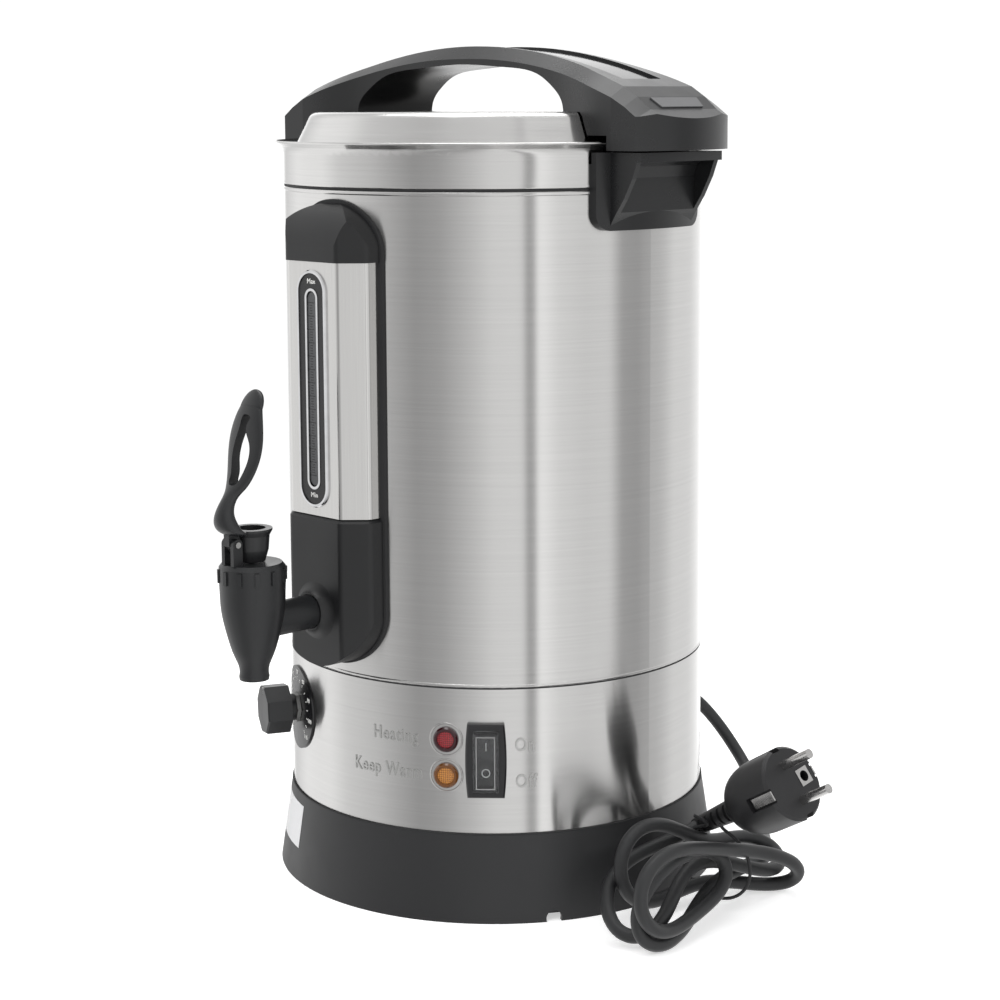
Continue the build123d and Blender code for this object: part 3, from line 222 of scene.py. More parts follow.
def bumpOf(tree, height, distance, kind):    # distance in metres
    parts = {"Height": height, "Distance": distance, "Strength": bumpStrength[kind]}
    return addNode(tree, "ShaderNodeBump", parts).outputs["Normal"]


# shared effects as node groups
brushSetting = {
    "broadStretch": (0.35, 0.35, 0.3),    # of the broad lines against the fine ones
    "fineShare": 0.65,
    "broadShare": 0.35,
    "cloudSize": 9.0,
    "cloudRough": (-0.01, 0.014),
}


def brushedGroup(values):
    group, start, end = newGroup(
        "brushedLines",
        {"Place": "Vector", "Stretch": "Vector", "Low Rough": "Float", "High Rough": "Float"},
        {"Height": "Float", "Rough": "Float", "Shade": "Float"},
    )
    along = vectorMath(group, "MULTIPLY", start["Place"], start["Stretch"])
    fine = noiseAt(group, along, 1.0, 3.0, 0.6)
    broad = noiseAt(group, vectorMath(group, "MULTIPLY", along, values["broadStretch"]), 1.0, 2.0)
    cloud = noiseAt(group, start["Place"], values["cloudSize"], 3.0, 0.55)
    finePart = valueMath(group, "MULTIPLY", fine, values["fineShare"])
    mixed = valueMath(group, "ADD", finePart, valueMath(group, "MULTIPLY", broad, values["broadShare"]))
    rough = mapTo(group, mixed, start["Low Rough"], start["High Rough"])
    feed(group, end, {
        "Height": mixed,
        "Rough": valueMath(group, "ADD", rough, mapTo(group, cloud, *values["cloudRough"])),
        "Shade": mapTo(group, mixed, 0.0, 1.0, 0.25, 0.75),
    })
    return group


mouldSetting = {"touchSize": 22.0, "cloudSize": 7.0, "wornRange": (0.35, 0.7)}


def mouldedGroup(values):
    group, start, end = newGroup(
        "mouldedGrain",
        {
            "Place": "Vector", "Grain": "Float", "Low Rough": "Float", "High Rough": "Float",
            "Tone": "Color", "Worn Tone": "Color",
        },
        {"Height": "Float", "Rough": "Float", "Colour": "Color"},
    )
    cells = {"Vector": start["Place"], "Scale": start["Grain"]}
    grain = addNode(group, "ShaderNodeTexVoronoi", cells).outputs["Distance"]
    touch = noiseAt(group, start["Place"], values["touchSize"], 4.0, 0.6)
    cloud = noiseAt(group, start["Place"], values["cloudSize"], 2.0)
    worn = mapTo(group, cloud, 0.0, 1.0, *values["wornRange"])
    feed(group, end, {
        "Height": grain,
        "Rough": mapTo(group, touch, start["Low Rough"], start["High Rough"]),
        "Colour": mixTones(group, worn, start["Tone"], start["Worn Tone"]),
    })
    return group


brushedLines = brushedGroup(brushSetting)
mouldedGrain = mouldedGroup(mouldSetting)

# finishes
finishes = {}


def startMaterial(name):
    finishes[name] = bpy.data.materials.new(name)
    finishes[name].use_nodes = True
    tree = finishes[name].node_tree
    tree.nodes.clear()
    surface = addNode(tree, "ShaderNodeBsdfPrincipled")
    addNode(tree, "ShaderNodeOutputMaterial", {"Surface": surface.outputs["BSDF"]})
    return tree, surface, addNode(tree, "ShaderNodeTexCoord").outputs["Object"]


steelFields = ("stretch", "dark", "light", "rough", "bump")
steelSetting = {
    "body": ((16, 16, 2300), (0.6, 0.595, 0.588), (0.66, 0.654, 0.645), (0.165, 0.2), 0.000006),
    "upright": ((2300, 2300, 16), (0.6, 0.594, 0.585), (0.67, 0.663, 0.65), (0.18, 0.225), 0.000007),
    "plain": ((60, 60, 400), (0.5, 0.5, 0.49), (0.6, 0.6, 0.59), (0.26, 0.42), 0.00001),
}
steelGlint = {"Metallic": 1.0, "Anisotropic": 0.93, "Anisotropic Rotation": 0.25}


def steelFinish(name, kind, turned=False):
    values = dict(zip(steelFields, steelSetting[kind]))
    tree, surface, place = startMaterial(name)
    if turned:    # lathe-turned lines: the radius takes the fast direction
        x, y, z = splitAxes(tree, place)
        place = joinAxes(tree, x, y, valueMath(tree, "ADD", lengthOf(tree, x, y), z))
    lines = addNode(tree, "ShaderNodeGroup", node_tree=brushedLines)
    low, high = values["rough"]
    feed(tree, lines, {"Place": place, "Stretch": values["stretch"], "Low Rough": low, "High Rough": high})
    shade = lines.outputs["Shade"]
    feed(tree, surface, {
        "Base Color": mixTones(tree, shade, toned(values["dark"]), toned(values["light"])),
        "Roughness": lines.outputs["Rough"],
        "Normal": bumpOf(tree, lines.outputs["Height"], values["bump"], "steel"),
        **steelGlint,
    })


steelFinish("bodySteel", "body")
steelFinish("panelSteel", "upright")
steelFinish("lidSteel", "body", turned=True)
steelFinish("plainSteel", "plain")

plasticIor = 1.48
plasticFields = ("tone", "worn", "rough", "grain", "bump")
plasticSetting = {
    "skirtPlastic": ((0.012, 0.0122, 0.013), (0.017, 0.0173, 0.0185), (0.4, 0.52), 1900, 0.00002),
    "handlePlastic": ((0.0065, 0.0067, 0.0072), (0.0095, 0.0098, 0.0105), (0.24, 0.36), 2600, 0.000018),
    "tapPlastic": ((0.01, 0.0105, 0.0115), (0.014, 0.0145, 0.0155), (0.3, 0.42), 3000, 0.000012),
    "gaugePlastic": ((0.006, 0.0062, 0.0068), (0.009, 0.0092, 0.01), (0.36, 0.46), 3000, 0.000015),
    "glossBlack": ((0.006, 0.006, 0.007), (0.009, 0.009, 0.01), (0.08, 0.16), 600, 0.000002),
    "faceBlack": ((0.008, 0.008, 0.009), (0.012, 0.012, 0.013), (0.2, 0.3), 900, 0.000003),
    "rubberBlack": ((0.014, 0.014, 0.015), (0.022, 0.022, 0.023), (0.62, 0.8), 1500, 0.00003),
    "leadSheath": ((0.014, 0.0145, 0.0155), (0.02, 0.0205, 0.0215), (0.42, 0.58), 1300, 0.00003),
    "plugPlastic": ((0.011, 0.011, 0.012), (0.016, 0.016, 0.017), (0.36, 0.5), 1800, 0.00002),
    "badgeGrey": ((0.085, 0.086, 0.089), (0.11, 0.111, 0.114), (0.3, 0.4), 2600, 0.00001),
    "tubeGrey": ((0.05, 0.052, 0.055), (0.062, 0.064, 0.067), (0.2, 0.3), 2600, 0.000004),
    "whitePlastic": ((0.72, 0.71, 0.68), (0.6, 0.59, 0.56), (0.35, 0.5), 1600, 0.00001),
    "whiteInk": ((0.82, 0.82, 0.8), (0.7, 0.7, 0.68), (0.4, 0.55), 3000, 0.000004),
    "greyInk": ((0.2, 0.2, 0.2), (0.26, 0.26, 0.26), (0.35, 0.5), 3000, 0.000004),
    "wireSheath": ((0.3, 0.3, 0.32), (0.22, 0.22, 0.24), (0.5, 0.65), 900, 0.00003),
    "labelFilm": ((0.62, 0.62, 0.63), (0.55, 0.55, 0.56), (0.22, 0.32), 700, 0.000004),
}


def plasticFinish(name, values):
    tree, surface, place = startMaterial(name)
    low, high = values["rough"]
    grain = addNode(tree, "ShaderNodeGroup", node_tree=mouldedGrain)
    feed(tree, grain, {
        "Place": place, "Grain": values["grain"], "Low Rough": low, "High Rough": high,
        "Tone": toned(values["tone"]), "Worn Tone": toned(values["worn"]),
    })
    feed(tree, surface, {
        "Base Color": grain.outputs["Colour"],
        "Roughness": grain.outputs["Rough"],
        "IOR": plasticIor,
        "Normal": bumpOf(tree, grain.outputs["Height"], values["bump"], "plastic"),
    })


for finishName, row in plasticSetting.items():
    plasticFinish(finishName, dict(zip(plasticFields, row)))

metalCommon = {"cloudSize": 160.0, "dim": 0.86, "fineSize": 1400.0, "bump": 0.000006}
metalSetting = {
    "chromePlate": {"tone": (0.72, 0.72, 0.73), "rough": (0.07, 0.16)},
    "pinMetal": {"tone": (0.7, 0.69, 0.68), "rough": (0.16, 0.3)},
    "zincPlate": {"tone": (0.58, 0.58, 0.57), "rough": (0.26, 0.42)},
    "brass": {"tone": (0.72, 0.52, 0.26), "rough": (0.22, 0.38)},
    "castAluminium": {"tone": (0.52, 0.52, 0.53), "rough": (0.42, 0.6)},
}


def metalFinish(name, values):
    tree, surface, place = startMaterial(name)
    cloud = noiseAt(tree, place, metalCommon["cloudSize"], 4.0, 0.6)
    fine = noiseAt(tree, place, metalCommon["fineSize"], 2.0)
    share = mapTo(tree, cloud, 0.0, 1.0, 0.3, 0.65)
    feed(tree, surface, {
        "Base Color": mixTones(tree, share, toned(values["tone"], metalCommon["dim"]), toned(values["tone"])),
        "Roughness": mapTo(tree, cloud, *values["rough"]),
        "Metallic": 1.0,
        "Normal": bumpOf(tree, fine, metalCommon["bump"], "metal"),
    })


for finishName, finishValues in metalSetting.items():
    metalFinish(finishName, finishValues)

clearCommon = {"cloudSize": 90.0, "dim": 0.9}
clearSetting = {
    "clearGlass": {"tone": (0.86, 0.9, 0.9), "rough": (0.02, 0.06), "ior": 1.47},
    "softCover": {"tone": (0.74, 0.75, 0.76), "rough": (0.03, 0.09), "ior": 1.4},
}


def clearFinish(name, values):
    tree, surface, place = startMaterial(name)
    cloud = noiseAt(tree, place, clearCommon["cloudSize"], 3.0, 0.6)
    feed(tree, surface, {
        "Base Color": mixTones(tree, cloud, toned(values["tone"], clearCommon["dim"]), toned(values["tone"])),
        "Roughness": mapTo(tree, cloud, *values["rough"]),
        "IOR": values["ior"],
        "Transmission Weight": 1.0,
    })


for finishName, finishValues in clearSetting.items():
    clearFinish(finishName, finishValues)

# lamp lenses: small diamond facets inside a plain rim
lampSetting = {
    "azimuth": 32.2,
    "heights": {"redLens": 91.6, "amberLens": 73.3},
    "light": {"redLens": (0.3, 0.006, 0.012), "amberLens": (0.5, 0.2, 0.03)},
    "dark": {"redLens": (0.022, 0.0, 0.002), "amberLens": (0.11, 0.036, 0.004)},
    "pitch": 2.2,
    "rimRadius": 4.3,
    "rimFrom": 0.92,    # part of the radius where the facets end
    "glowFrom": 0.15,
    "rough": (0.08, 0.2),
    "bump": 0.00016,
    "gloss": {"IOR": 1.5, "Coat Weight": 0.6, "Coat Roughness": 0.05},
}


def lensFinish(name, values):
    tree, surface, place = startMaterial(name)
    a = math.radians(values["azimuth"])
    across = vectorMath(tree, "DOT_PRODUCT", place, (math.cos(a), math.sin(a), 0))
    above = valueMath(tree, "SUBTRACT", splitAxes(tree, place)[2], values["heights"][name] * mm)
    step = 2 * math.pi / (values["pitch"] * mm)
    waves = [
        valueMath(tree, "SINE", valueMath(tree, "MULTIPLY", valueMath(tree, way, across, above), step))
        for way in ("ADD", "SUBTRACT")
    ]
    rim = values["rimRadius"] * mm
    inside = mapTo(tree, lengthOf(tree, across, above), 1.0, 0.0, rim * values["rimFrom"], rim)
    patterned = valueMath(tree, "MULTIPLY", valueMath(tree, "MULTIPLY", *waves), inside)
    glow = valueMath(tree, "MULTIPLY", inside, mapTo(tree, patterned, values["glowFrom"], 1.0, -0.9, 0.9))
    feed(tree, surface, {
        "Base Color": mixTones(tree, glow, toned(values["dark"][name]), toned(values["light"][name])),
        "Roughness": mapTo(tree, patterned, *values["rough"], -1.0, 1.0),
        "Normal": bumpOf(tree, patterned, values["bump"], "lens"),
        **values["gloss"],
    })


for lens in lampSetting["heights"]:
    lensFinish(lens, lampSetting)
print("finishes made:", len(finishes))

# finishes onto the carried-over solids
solidFinish = {
    "skirtPlastic": ["base_skirt", "bottom_cover"],
    "rubberBlack": ["rubber_feet", "lid_seal", "tap_washers", "stem_seal", "gauge_frame"],
    "zincPlate": ["foot_screws", "bracket_screws", "handle_screws", "thermostat_nut", "lever_pin"],
    "bodySteel": ["control_band", "outer_shell"],
    "lidSteel": ["lid_shell", "tank"],
    "panelSteel": ["gauge_panel"],
    "plainSteel": ["thermal_cutout", "heating_element", "tap_spring", "thermostat_shaft"],
    "castAluminium": ["heat_plate"],
    "brass": ["thermostat_bulb"],
    "whitePlastic": ["thermostat_body", "terminal_block", "lamp_bodies"],
    "faceBlack": ["dial_plate", "gauge_face"],
    "tapPlastic": [
        "dial_knob", "tap_body", "tap_nut", "tap_bonnet", "tap_stem", "tap_lever", "sight_fittings",
    ],
    "glossBlack": ["switch_housing", "switch_rocker", "handle_inlay"],
    "softCover": ["switch_boot"],
    "redLens": ["lamp_red"],
    "amberLens": ["lamp_amber"],
    "gaugePlastic": ["gauge_cap", "gauge_lower_cover"],
    "chromePlate": ["gauge_rim", "gauge_slot_rim"],
    "clearGlass": ["sight_glass"],
    "handlePlastic": ["bracket_right", "bracket_left", "lid_handle", "cord_gland"],
    "badgeGrey": ["handle_badges"],
    "leadSheath": ["power_cord", "cord_hank", "cord_tie"],
    "plugPlastic": ["plug_body"],
    "pinMetal": ["plug_pins", "plug_earth_clips"],
    "wireSheath": ["inner_wiring"],
}
for finishName, nodes in solidFinish.items():
    for node in nodes:
        solid = bpy.data.objects[node]
        if not solid.material_slots:
            solid.data.materials.append(finishes[finishName])
        for holder in solid.material_slots:
            holder.material = finishes[finishName]
print("solids finished:", sum(len(nodes) for nodes in solidFinish.values()))

# helpers for the detailed pieces


def aroundUrn(a, reach, height):    # a point in metres; a is in radians, from the tap side
    return (reach * math.sin(a) * mm, -reach * math.cos(a) * mm, height * mm)


def outDirection(azimuth):
    a = math.radians(azimuth)
    return Vector((math.sin(a), -math.cos(a), 0))


def sideDirection(azimuth):
    a = math.radians(azimuth)
    return Vector((math.cos(a), math.sin(a), 0))


def meshFrom(work, name):
    bmesh.ops.recalc_face_normals(work, faces=work.faces)
    mesh = bpy.data.meshes.new(name)
    work.to_mesh(mesh)
    work.free()
    return mesh


def keepPiece(name, form, body, finish, smooth=False):
    mesh = meshFrom(form, name) if isinstance(form, bmesh.types.BMesh) else form
    piece = bpy.data.objects.new(name, mesh)
    bpy.context.scene.collection.objects.link(piece)
    mesh.materials.clear()
    mesh.materials.append(finishes[finish])
    for face in mesh.polygons:
        face.use_smooth = smooth
    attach(piece, body)
    return piece


def plainMesh(thing, name):
    graph = bpy.context.evaluated_depsgraph_get()
    mesh = bpy.data.meshes.new_from_object(thing.evaluated_get(graph))
    mesh.name = name
    bpy.data.objects.remove(thing, do_unlink=True)
    return mesh


def moveInto(work, mesh):
    work.from_mesh(mesh)
    bpy.data.meshes.remove(mesh)


def wordMesh(text, size, raised, soft=0.0, spacing=1.0, wide=1.0, tall=1.0):
    letters = bpy.data.curves.new("letters", "FONT")
    letters.body = text
    letters.size = size
    letters.space_character = spacing
    letters.align_x = "CENTER"
    letters.align_y = "CENTER"
    letters.extrude = raised / 2
    letters.bevel_depth = soft
    letters.bevel_resolution = 1
    letters.resolution_u = 4
    thing = bpy.data.objects.new("letters", letters)
    bpy.context.scene.collection.objects.link(thing)
    mesh = plainMesh(thing, text)
    for point in mesh.vertices:
        point.co.x *= wide
        point.co.y *= tall
    work = bmesh.new()
    work.from_mesh(mesh)
    bmesh.ops.remove_doubles(work, verts=work.verts, dist=1e-5)
    work.to_mesh(mesh)
    work.free()
    return mesh


def wrapRound(mesh, azimuth, height, radius):    # flat drawing in mm, bent round the urn
    for point in mesh.vertices:
        x, y, z = point.co
        point.co = aroundUrn(math.radians(azimuth) + x / radius, radius + z, height + y)
    return mesh


def setFlat(mesh, centre, right, up):    # flat drawing in mm, laid on a plane
    out = right.cross(up)
    for point in mesh.vertices:
        x, y, z = point.co
        point.co = (centre + right * x + up * y + out * z) * mm
    return mesh


def circlePoints(count, radius=1.0, first=0.0):
    turns = [first + 2 * math.pi * i / count for i in range(count)]
    return [(radius * math.cos(a), radius * math.sin(a)) for a in turns]


def skinRows(work, rows, ring=False, caps=False):    # quads from row to row; every row is a closed loop
    for now, after in zip(rows, rows[1:] + rows[:1] if ring else rows[1:]):
        for j in range(len(now)):
            k = (j + 1) % len(now)
            work.faces.new((now[j], after[j], after[k], now[k]))
    if caps:
        work.faces.new(rows[0][::-1])
        work.faces.new(rows[-1])


def drawFrame(work, outer, inner, thick):    # flat frame between two loops
    layers = ((inner, 0.0), (outer, 0.0), (outer, thick), (inner, thick))
    skinRows(work, [[work.verts.new((x, y, z)) for x, y in loop] for loop, z in layers], ring=True)


def boxLoop(halfWide, halfTall, perSide):
    corners = [(halfWide, -halfTall), (halfWide, halfTall), (-halfWide, halfTall), (-halfWide, -halfTall)]
    loop = []
    for (x0, y0), (x1, y1) in zip(corners, corners[1:] + corners[:1]):
        loop += [(x0 + (x1 - x0) * i / perSide, y0 + (y1 - y0) * i / perSide) for i in range(perSide)]
    return loop


# mains lead: its finish and its body; the model's cord and hank are hidden
mainsLead.data.materials.append(finishes["leadSheath"])
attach(mainsLead, "body")
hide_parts("power_cord", "cord_hank")

tieSetting = {
    "middle": (144.5, 12.0, 23.4),
    "across": 22.6,
    "high": 18.6,
    "wire": 0.85,
    "points": 16,
    "firstTail": [(-4.5, -6.5, 5.5), (-1.5, -3, 3.2)],    # steps from the loop's two ends
    "lastTail": [(1, -3, 3.4), (3.5, -8, 5)],
    "smooth": 6,
}


def shifted(place, steps):
    return [tuple(part + more for part, more in zip(place, step)) for step in steps]


def makeTie(values):
    x, y, z = values["middle"]
    first = math.pi / 2 + math.pi / values["points"]
    ring = circlePoints(values["points"], first=first)
    loop = [(x + values["across"] * a, y, z + values["high"] * b) for a, b in ring]
    points = shifted(loop[0], values["firstTail"]) + loop + shifted(loop[-1], values["lastTail"])
    wire = smoothLine("twist_tie", points, values["wire"], values["smooth"])
    mesh = plainMesh(wire, "twist_tie")
    return keepPiece("twist_tie", mesh, "body", "rubberBlack", smooth=True)


# bright insert round the plug's earth socket
insertSetting = {
    "start": (125.0, 20.5, 35.5),
    "axis": (0.86, -0.05, 0.507),
    "pinLine": (0.507, 0.16, -0.845),
    "reach": 74.5,
    "aside": 9.0,
    "half": 4.2,
    "hole": 2.75,
    "thick": 0.3,
    "perSide": 8,
}


def makeEarthInsert(values):
    axis = Vector(values["axis"]).normalized()
    across = Vector(values["pinLine"])
    across = (across - axis * across.dot(axis)).normalized()
    aside = axis.cross(across)
    square = boxLoop(values["half"], values["half"], values["perSide"])
    hole = [(values["hole"] * x / math.hypot(x, y), values["hole"] * y / math.hypot(x, y)) for x, y in square]
    work = bmesh.new()
    drawFrame(work, square, hole, values["thick"])
    centre = Vector(values["start"]) + axis * values["reach"] + aside * values["aside"]
    mesh = setFlat(meshFrom(work, "earth_insert"), centre, across, aside)
    return keepPiece("earth_insert", mesh, "body", "pinMetal")


earthInsert = makeEarthInsert(insertSetting)
twistTiePiece = makeTie(tieSetting)
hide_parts("cord_tie")

# raised words on the control band
bandWords = {
    "words": [("Heating", 17.9, 91.4), ("Keep Warm", 15.2, 73.4), ("On", 52.6, 89.0), ("Off", 52.9, 70.5)],
    "form": {"size": 9.4, "raised": 0.7, "soft": 0.16, "spacing": 1.14, "wide": 0.77},
    "base": 110.0,
}


def makeBandWords(values):
    work = bmesh.new()
    for text, azimuth, height in values["words"]:
        letters = wordMesh(text, **values["form"])
        moveInto(work, wrapRound(letters, azimuth, height, values["base"]))
    keepPiece("band_words", work, "body", "plainSteel")


makeBandWords(bandWords)
print("band words made")

# repeated marks by geometry nodes


def newShaper(name, inputs):
    geometry = {"Geometry": "Geometry"}
    return newGroup(name, {**geometry, **inputs}, geometry, "GeometryNodeTree")


def finishShaper(tree, end, material, **parts):
    copies = addNode(tree, "GeometryNodeInstanceOnPoints", parts).outputs[0]
    real = addNode(tree, "GeometryNodeRealizeInstances", {0: copies}).outputs[0]
    paint = addNode(tree, "GeometryNodeSetMaterial", {"Geometry": real, "Material": material})
    feed(tree, end, {0: paint.outputs[0]})


def shapedMesh(tree, name, values):
    holder = bpy.data.objects.new(name, bpy.data.meshes.new(name))
    bpy.context.scene.collection.objects.link(holder)
    shaper = holder.modifiers.new("shaper", "NODES")
    shaper.node_group = tree
    for item in tree.interface.items_tree:
        if item.item_type == "SOCKET" and item.in_out == "INPUT" and item.name in values:
            shaper[item.identifier] = values[item.name]
    return plainMesh(holder, name)


def markRowTree(material, shortPart):    # flat bars in a row, every few longer
    tree, start, end = newShaper("markRow", {
        "Count": "Int", "Gap": "Float", "Length": "Float", "Thickness": "Float", "Depth": "Float",
        "Long Every": "Int",
    })
    step = joinAxes(tree, 0.0, start["Gap"], 0.0)
    row = addNode(tree, "GeometryNodeMeshLine", {"Count": start["Count"], "Offset": step}).outputs[0]
    size = joinAxes(tree, start["Length"], start["Thickness"], start["Depth"])
    bar = addNode(tree, "GeometryNodeMeshCube", {"Size": size}).outputs[0]
    index = addNode(tree, "GeometryNodeInputIndex").outputs[0]
    isLong = valueMath(tree, "LESS_THAN", valueMath(tree, "MODULO", index, start["Long Every"]), 0.5)
    grow = valueMath(tree, "MULTIPLY_ADD", isLong, 1 - shortPart, shortPart)
    finishShaper(tree, end, material, Points=row, Instance=bar, Scale=joinAxes(tree, grow, 1, 1))
    return tree


def ringMarksTree(material):    # flat bars round a circle
    tree, start, end = newShaper("ringMarks", {
        "Count": "Int", "Radius": "Float", "First Angle": "Float", "Sweep": "Float", "Length": "Float",
        "Thickness": "Float", "Depth": "Float",
    })
    arc = addNode(tree, "GeometryNodeCurveArc", {
        "Resolution": start["Count"], "Radius": start["Radius"],
        "Start Angle": start["First Angle"], "Sweep Angle": start["Sweep"],
    })
    points = addNode(tree, "GeometryNodeCurveToPoints", {0: arc.outputs[0]}, mode="EVALUATED").outputs[0]
    size = joinAxes(tree, start["Thickness"], start["Length"], start["Depth"])
    bar = addNode(tree, "GeometryNodeMeshCube", {"Size": size}).outputs[0]
    here = addNode(tree, "GeometryNodeInputPosition").outputs[0]
    aim = addNode(tree, "FunctionNodeAlignEulerToVector", {"Vector": here}, axis="Y").outputs[0]
    finishShaper(tree, end, material, Points=points, Instance=bar, Rotation=aim)
    return tree


# sight gauge: words and level marks
gaugeSetting = {
    "words": [("Max", 317.3), ("Min", 211.2)],
    "form": {"size": 3.7, "raised": 0.16, "tall": 0.95},
    "front": -125.9,
    "marks": {"Count": 66, "Gap": 1.32, "Length": 4.2, "Thickness": 0.4, "Depth": 0.1, "Long Every": 5},
    "shortPart": 0.42,    # of a long mark
    "marksAside": -0.9,
    "marksFrom": 221.0,
    "marksFront": -125.55,
    "strip": (6.4, 216.0, 312.0, 0.4),    # width, low end, high end, thickness
    "stripBehind": 0.05,
}


def makeGaugeMarks(values):
    work = bmesh.new()
    for text, height in values["words"]:
        centre = Vector((0, values["front"] - values["form"]["raised"] / 2, height))
        moveInto(work, setFlat(wordMesh(text, **values["form"]), centre, rightward, upward))
    keepPiece("gauge_words", work, "body", "whiteInk")
    front = values["marksFront"]
    rung = shapedMesh(markRowTree(finishes["faceBlack"], values["shortPart"]), "level_marks", values["marks"])
    setFlat(rung, Vector((values["marksAside"], front, values["marksFrom"])), rightward, upward)
    width, low, high, thick = values["strip"]
    arc = circlePoints(32, width / 2)[:17]
    outline = [(x, high - width / 2 + z) for x, z in arc] + [(-x, low + width / 2 - z) for x, z in arc]
    strip = bmesh.new()
    skinRows(strip, [
        [strip.verts.new((x * mm, y * mm, z * mm)) for x, z in outline]
        for y in (front + values["stripBehind"], front + thick)
    ], caps=True)
    keepPiece("level_strip", strip, "body", "tubeGrey")
    keepPiece("level_marks", rung, "body", "faceBlack")


makeGaugeMarks(gaugeSetting)
print("gauge marks made")

# thermostat dial: numbers and ticks on the plate
dialSetting = {
    "azimuth": -25.0,
    "height": 89.5,
    "face": 111.0,
    "numbers": ["30", "40", "50", "60", "70", "80", "90", "100", "110"],
    "firstAngle": -135.0,    # degrees from straight up, clockwise
    "sweep": 270.0,
    "numberRadius": 18.6,
    "numberForm": {"size": 3.1, "raised": 0.14},
    "lift": 0.08,
    "ticks": {"Count": 17, "Radius": 15.4, "Length": 1.5, "Thickness": 0.4, "Depth": 0.14},
}


def makeDialMarks(values):
    turns = {
        "First Angle": math.radians(90 - values["firstAngle"] - values["sweep"]),
        "Sweep": math.radians(values["sweep"]),
    }
    ticks = shapedMesh(ringMarksTree(finishes["whiteInk"]), "dial_ticks", {**values["ticks"], **turns})
    drawings = []
    last = len(values["numbers"]) - 1
    for i, text in enumerate(values["numbers"]):
        turn = math.radians(values["firstAngle"] + values["sweep"] * i / last)
        drawings.append((wordMesh(text, **values["numberForm"]), values["numberRadius"], turn))
    work = bmesh.new()
    for drawing, radius, turn in drawings + [(ticks, 0.0, 0.0)]:
        for point in drawing.vertices:
            point.co.x += radius * math.sin(turn)
            point.co.y += radius * math.cos(turn)
            point.co.z += values["lift"]
        moveInto(work, wrapRound(drawing, values["azimuth"], values["height"], values["face"]))
    keepPiece("dial_marks", work, "body", "whiteInk")


makeDialMarks(dialSetting)

knobSetting = {"front": 129.3, "lineHeight": 99.5, "size": (1.1, 3.9, 0.3), "soft": 0.06}


def makeKnobLine(values):
    work = bmesh.new()
    bmesh.ops.create_cube(work, size=1.0)
    bmesh.ops.scale(work, vec=values["size"], verts=work.verts)
    bmesh.ops.bevel(work, geom=work.edges[:], offset=values["soft"], segments=1, affect="EDGES")
    azimuth = dialSetting["azimuth"]
    centre = outDirection(azimuth) * (values["front"] + values["size"][2] / 2) + upward * values["lineHeight"]
    mesh = setFlat(meshFrom(work, "knob_line"), centre, sideDirection(azimuth), upward)
    keepPiece("knob_line", mesh, "dial", "whiteInk")


makeKnobLine(knobSetting)
print("dial marks made")

# switch: on and off marks on the rocker
rockerSetting = {
    "azimuth": 42.6,
    "height": 81.6,
    "reach": 107.0,
    "lean": 7.0,
    "slope": (1.5, 12.4),    # each half of the rocker rises this much over this length
    "rise": 3.4,
    "lineAt": 6.4,
    "lineLength": 4.2,
    "ringAt": -6.6,
    "ringRadius": 1.9,
    "stroke": 0.55,
    "thick": 0.12,
}


def makeRockerMarks(values):
    lean = math.radians(values["lean"])
    slope = math.atan2(*values["slope"])
    out = outDirection(values["azimuth"])
    alongUp = upward * math.cos(lean) - out * math.sin(lean)
    outTilted = out * math.cos(lean) + upward * math.sin(lean)
    pivot = out * values["reach"] + upward * values["height"]
    stroke, thick = values["stroke"], values["thick"]
    line, ring = bmesh.new(), bmesh.new()
    bmesh.ops.create_cube(line, size=1.0)
    bmesh.ops.scale(line, vec=(stroke, values["lineLength"], thick), verts=line.verts)
    bmesh.ops.translate(line, vec=(0, 0, thick / 2), verts=line.verts)
    outer, inner = (circlePoints(36, values["ringRadius"] + part) for part in (stroke / 2, -stroke / 2))
    drawFrame(ring, outer, inner, thick)
    work = bmesh.new()
    for part, at in ((line, values["lineAt"]), (ring, values["ringAt"])):
        tilt = math.copysign(slope, at)
        centre = pivot + alongUp * at + outTilted * (values["rise"] + abs(at) * math.tan(slope))
        up = alongUp * math.cos(tilt) + outTilted * math.sin(tilt)
        moveInto(work, setFlat(meshFrom(part, "mark"), centre, sideDirection(values["azimuth"]), up))
    keepPiece("rocker_marks", work, "rocker", "whiteInk")


makeRockerMarks(rockerSetting)

# the thin line inside the switch's clear cover
coverSetting = {
    "azimuth": 42.6,
    "height": 81.6,
    "front": 115.7,
    "half": (4.75, 13.3),
    "line": 0.42,
    "thick": 0.12,
    "perSide": 6,
}


def makeCoverLine(values):
    wide, tall = values["half"]
    outer, inner = (boxLoop(wide - part, tall - part, values["perSide"]) for part in (0.0, values["line"]))
    work = bmesh.new()
    drawFrame(work, outer, inner, values["thick"])
    centre = outDirection(values["azimuth"]) * values["front"] + upward * values["height"]
    mesh = setFlat(meshFrom(work, "cover_line"), centre, sideDirection(values["azimuth"]), upward)
    keepPiece("cover_line", mesh, "body", "greyInk")


makeCoverLine(coverSetting)
print("switch marks made")

# thin bright rings round the lamps
lampRingSetting = {"radius": 8.2, "wire": 0.45, "reach": 110.0, "steps": 48, "around": 10}


def makeLampRings(values):
    work = bmesh.new()
    reach = values["reach"]
    for height in lampSetting["heights"].values():
        rows = []
        for c, s in circlePoints(values["steps"]):
            row = []
            for out, lift in circlePoints(values["around"], values["wire"]):
                r = values["radius"] + out
                a = math.radians(lampSetting["azimuth"]) + r * c / reach
                row.append(work.verts.new(aroundUrn(a, reach + lift, height + r * s)))
            rows.append(row)
        skinRows(work, rows, ring=True)
    keepPiece("lamp_rings", work, "body", "bodySteel", smooth=True)


makeLampRings(lampRingSetting)
print("lamp rings made")
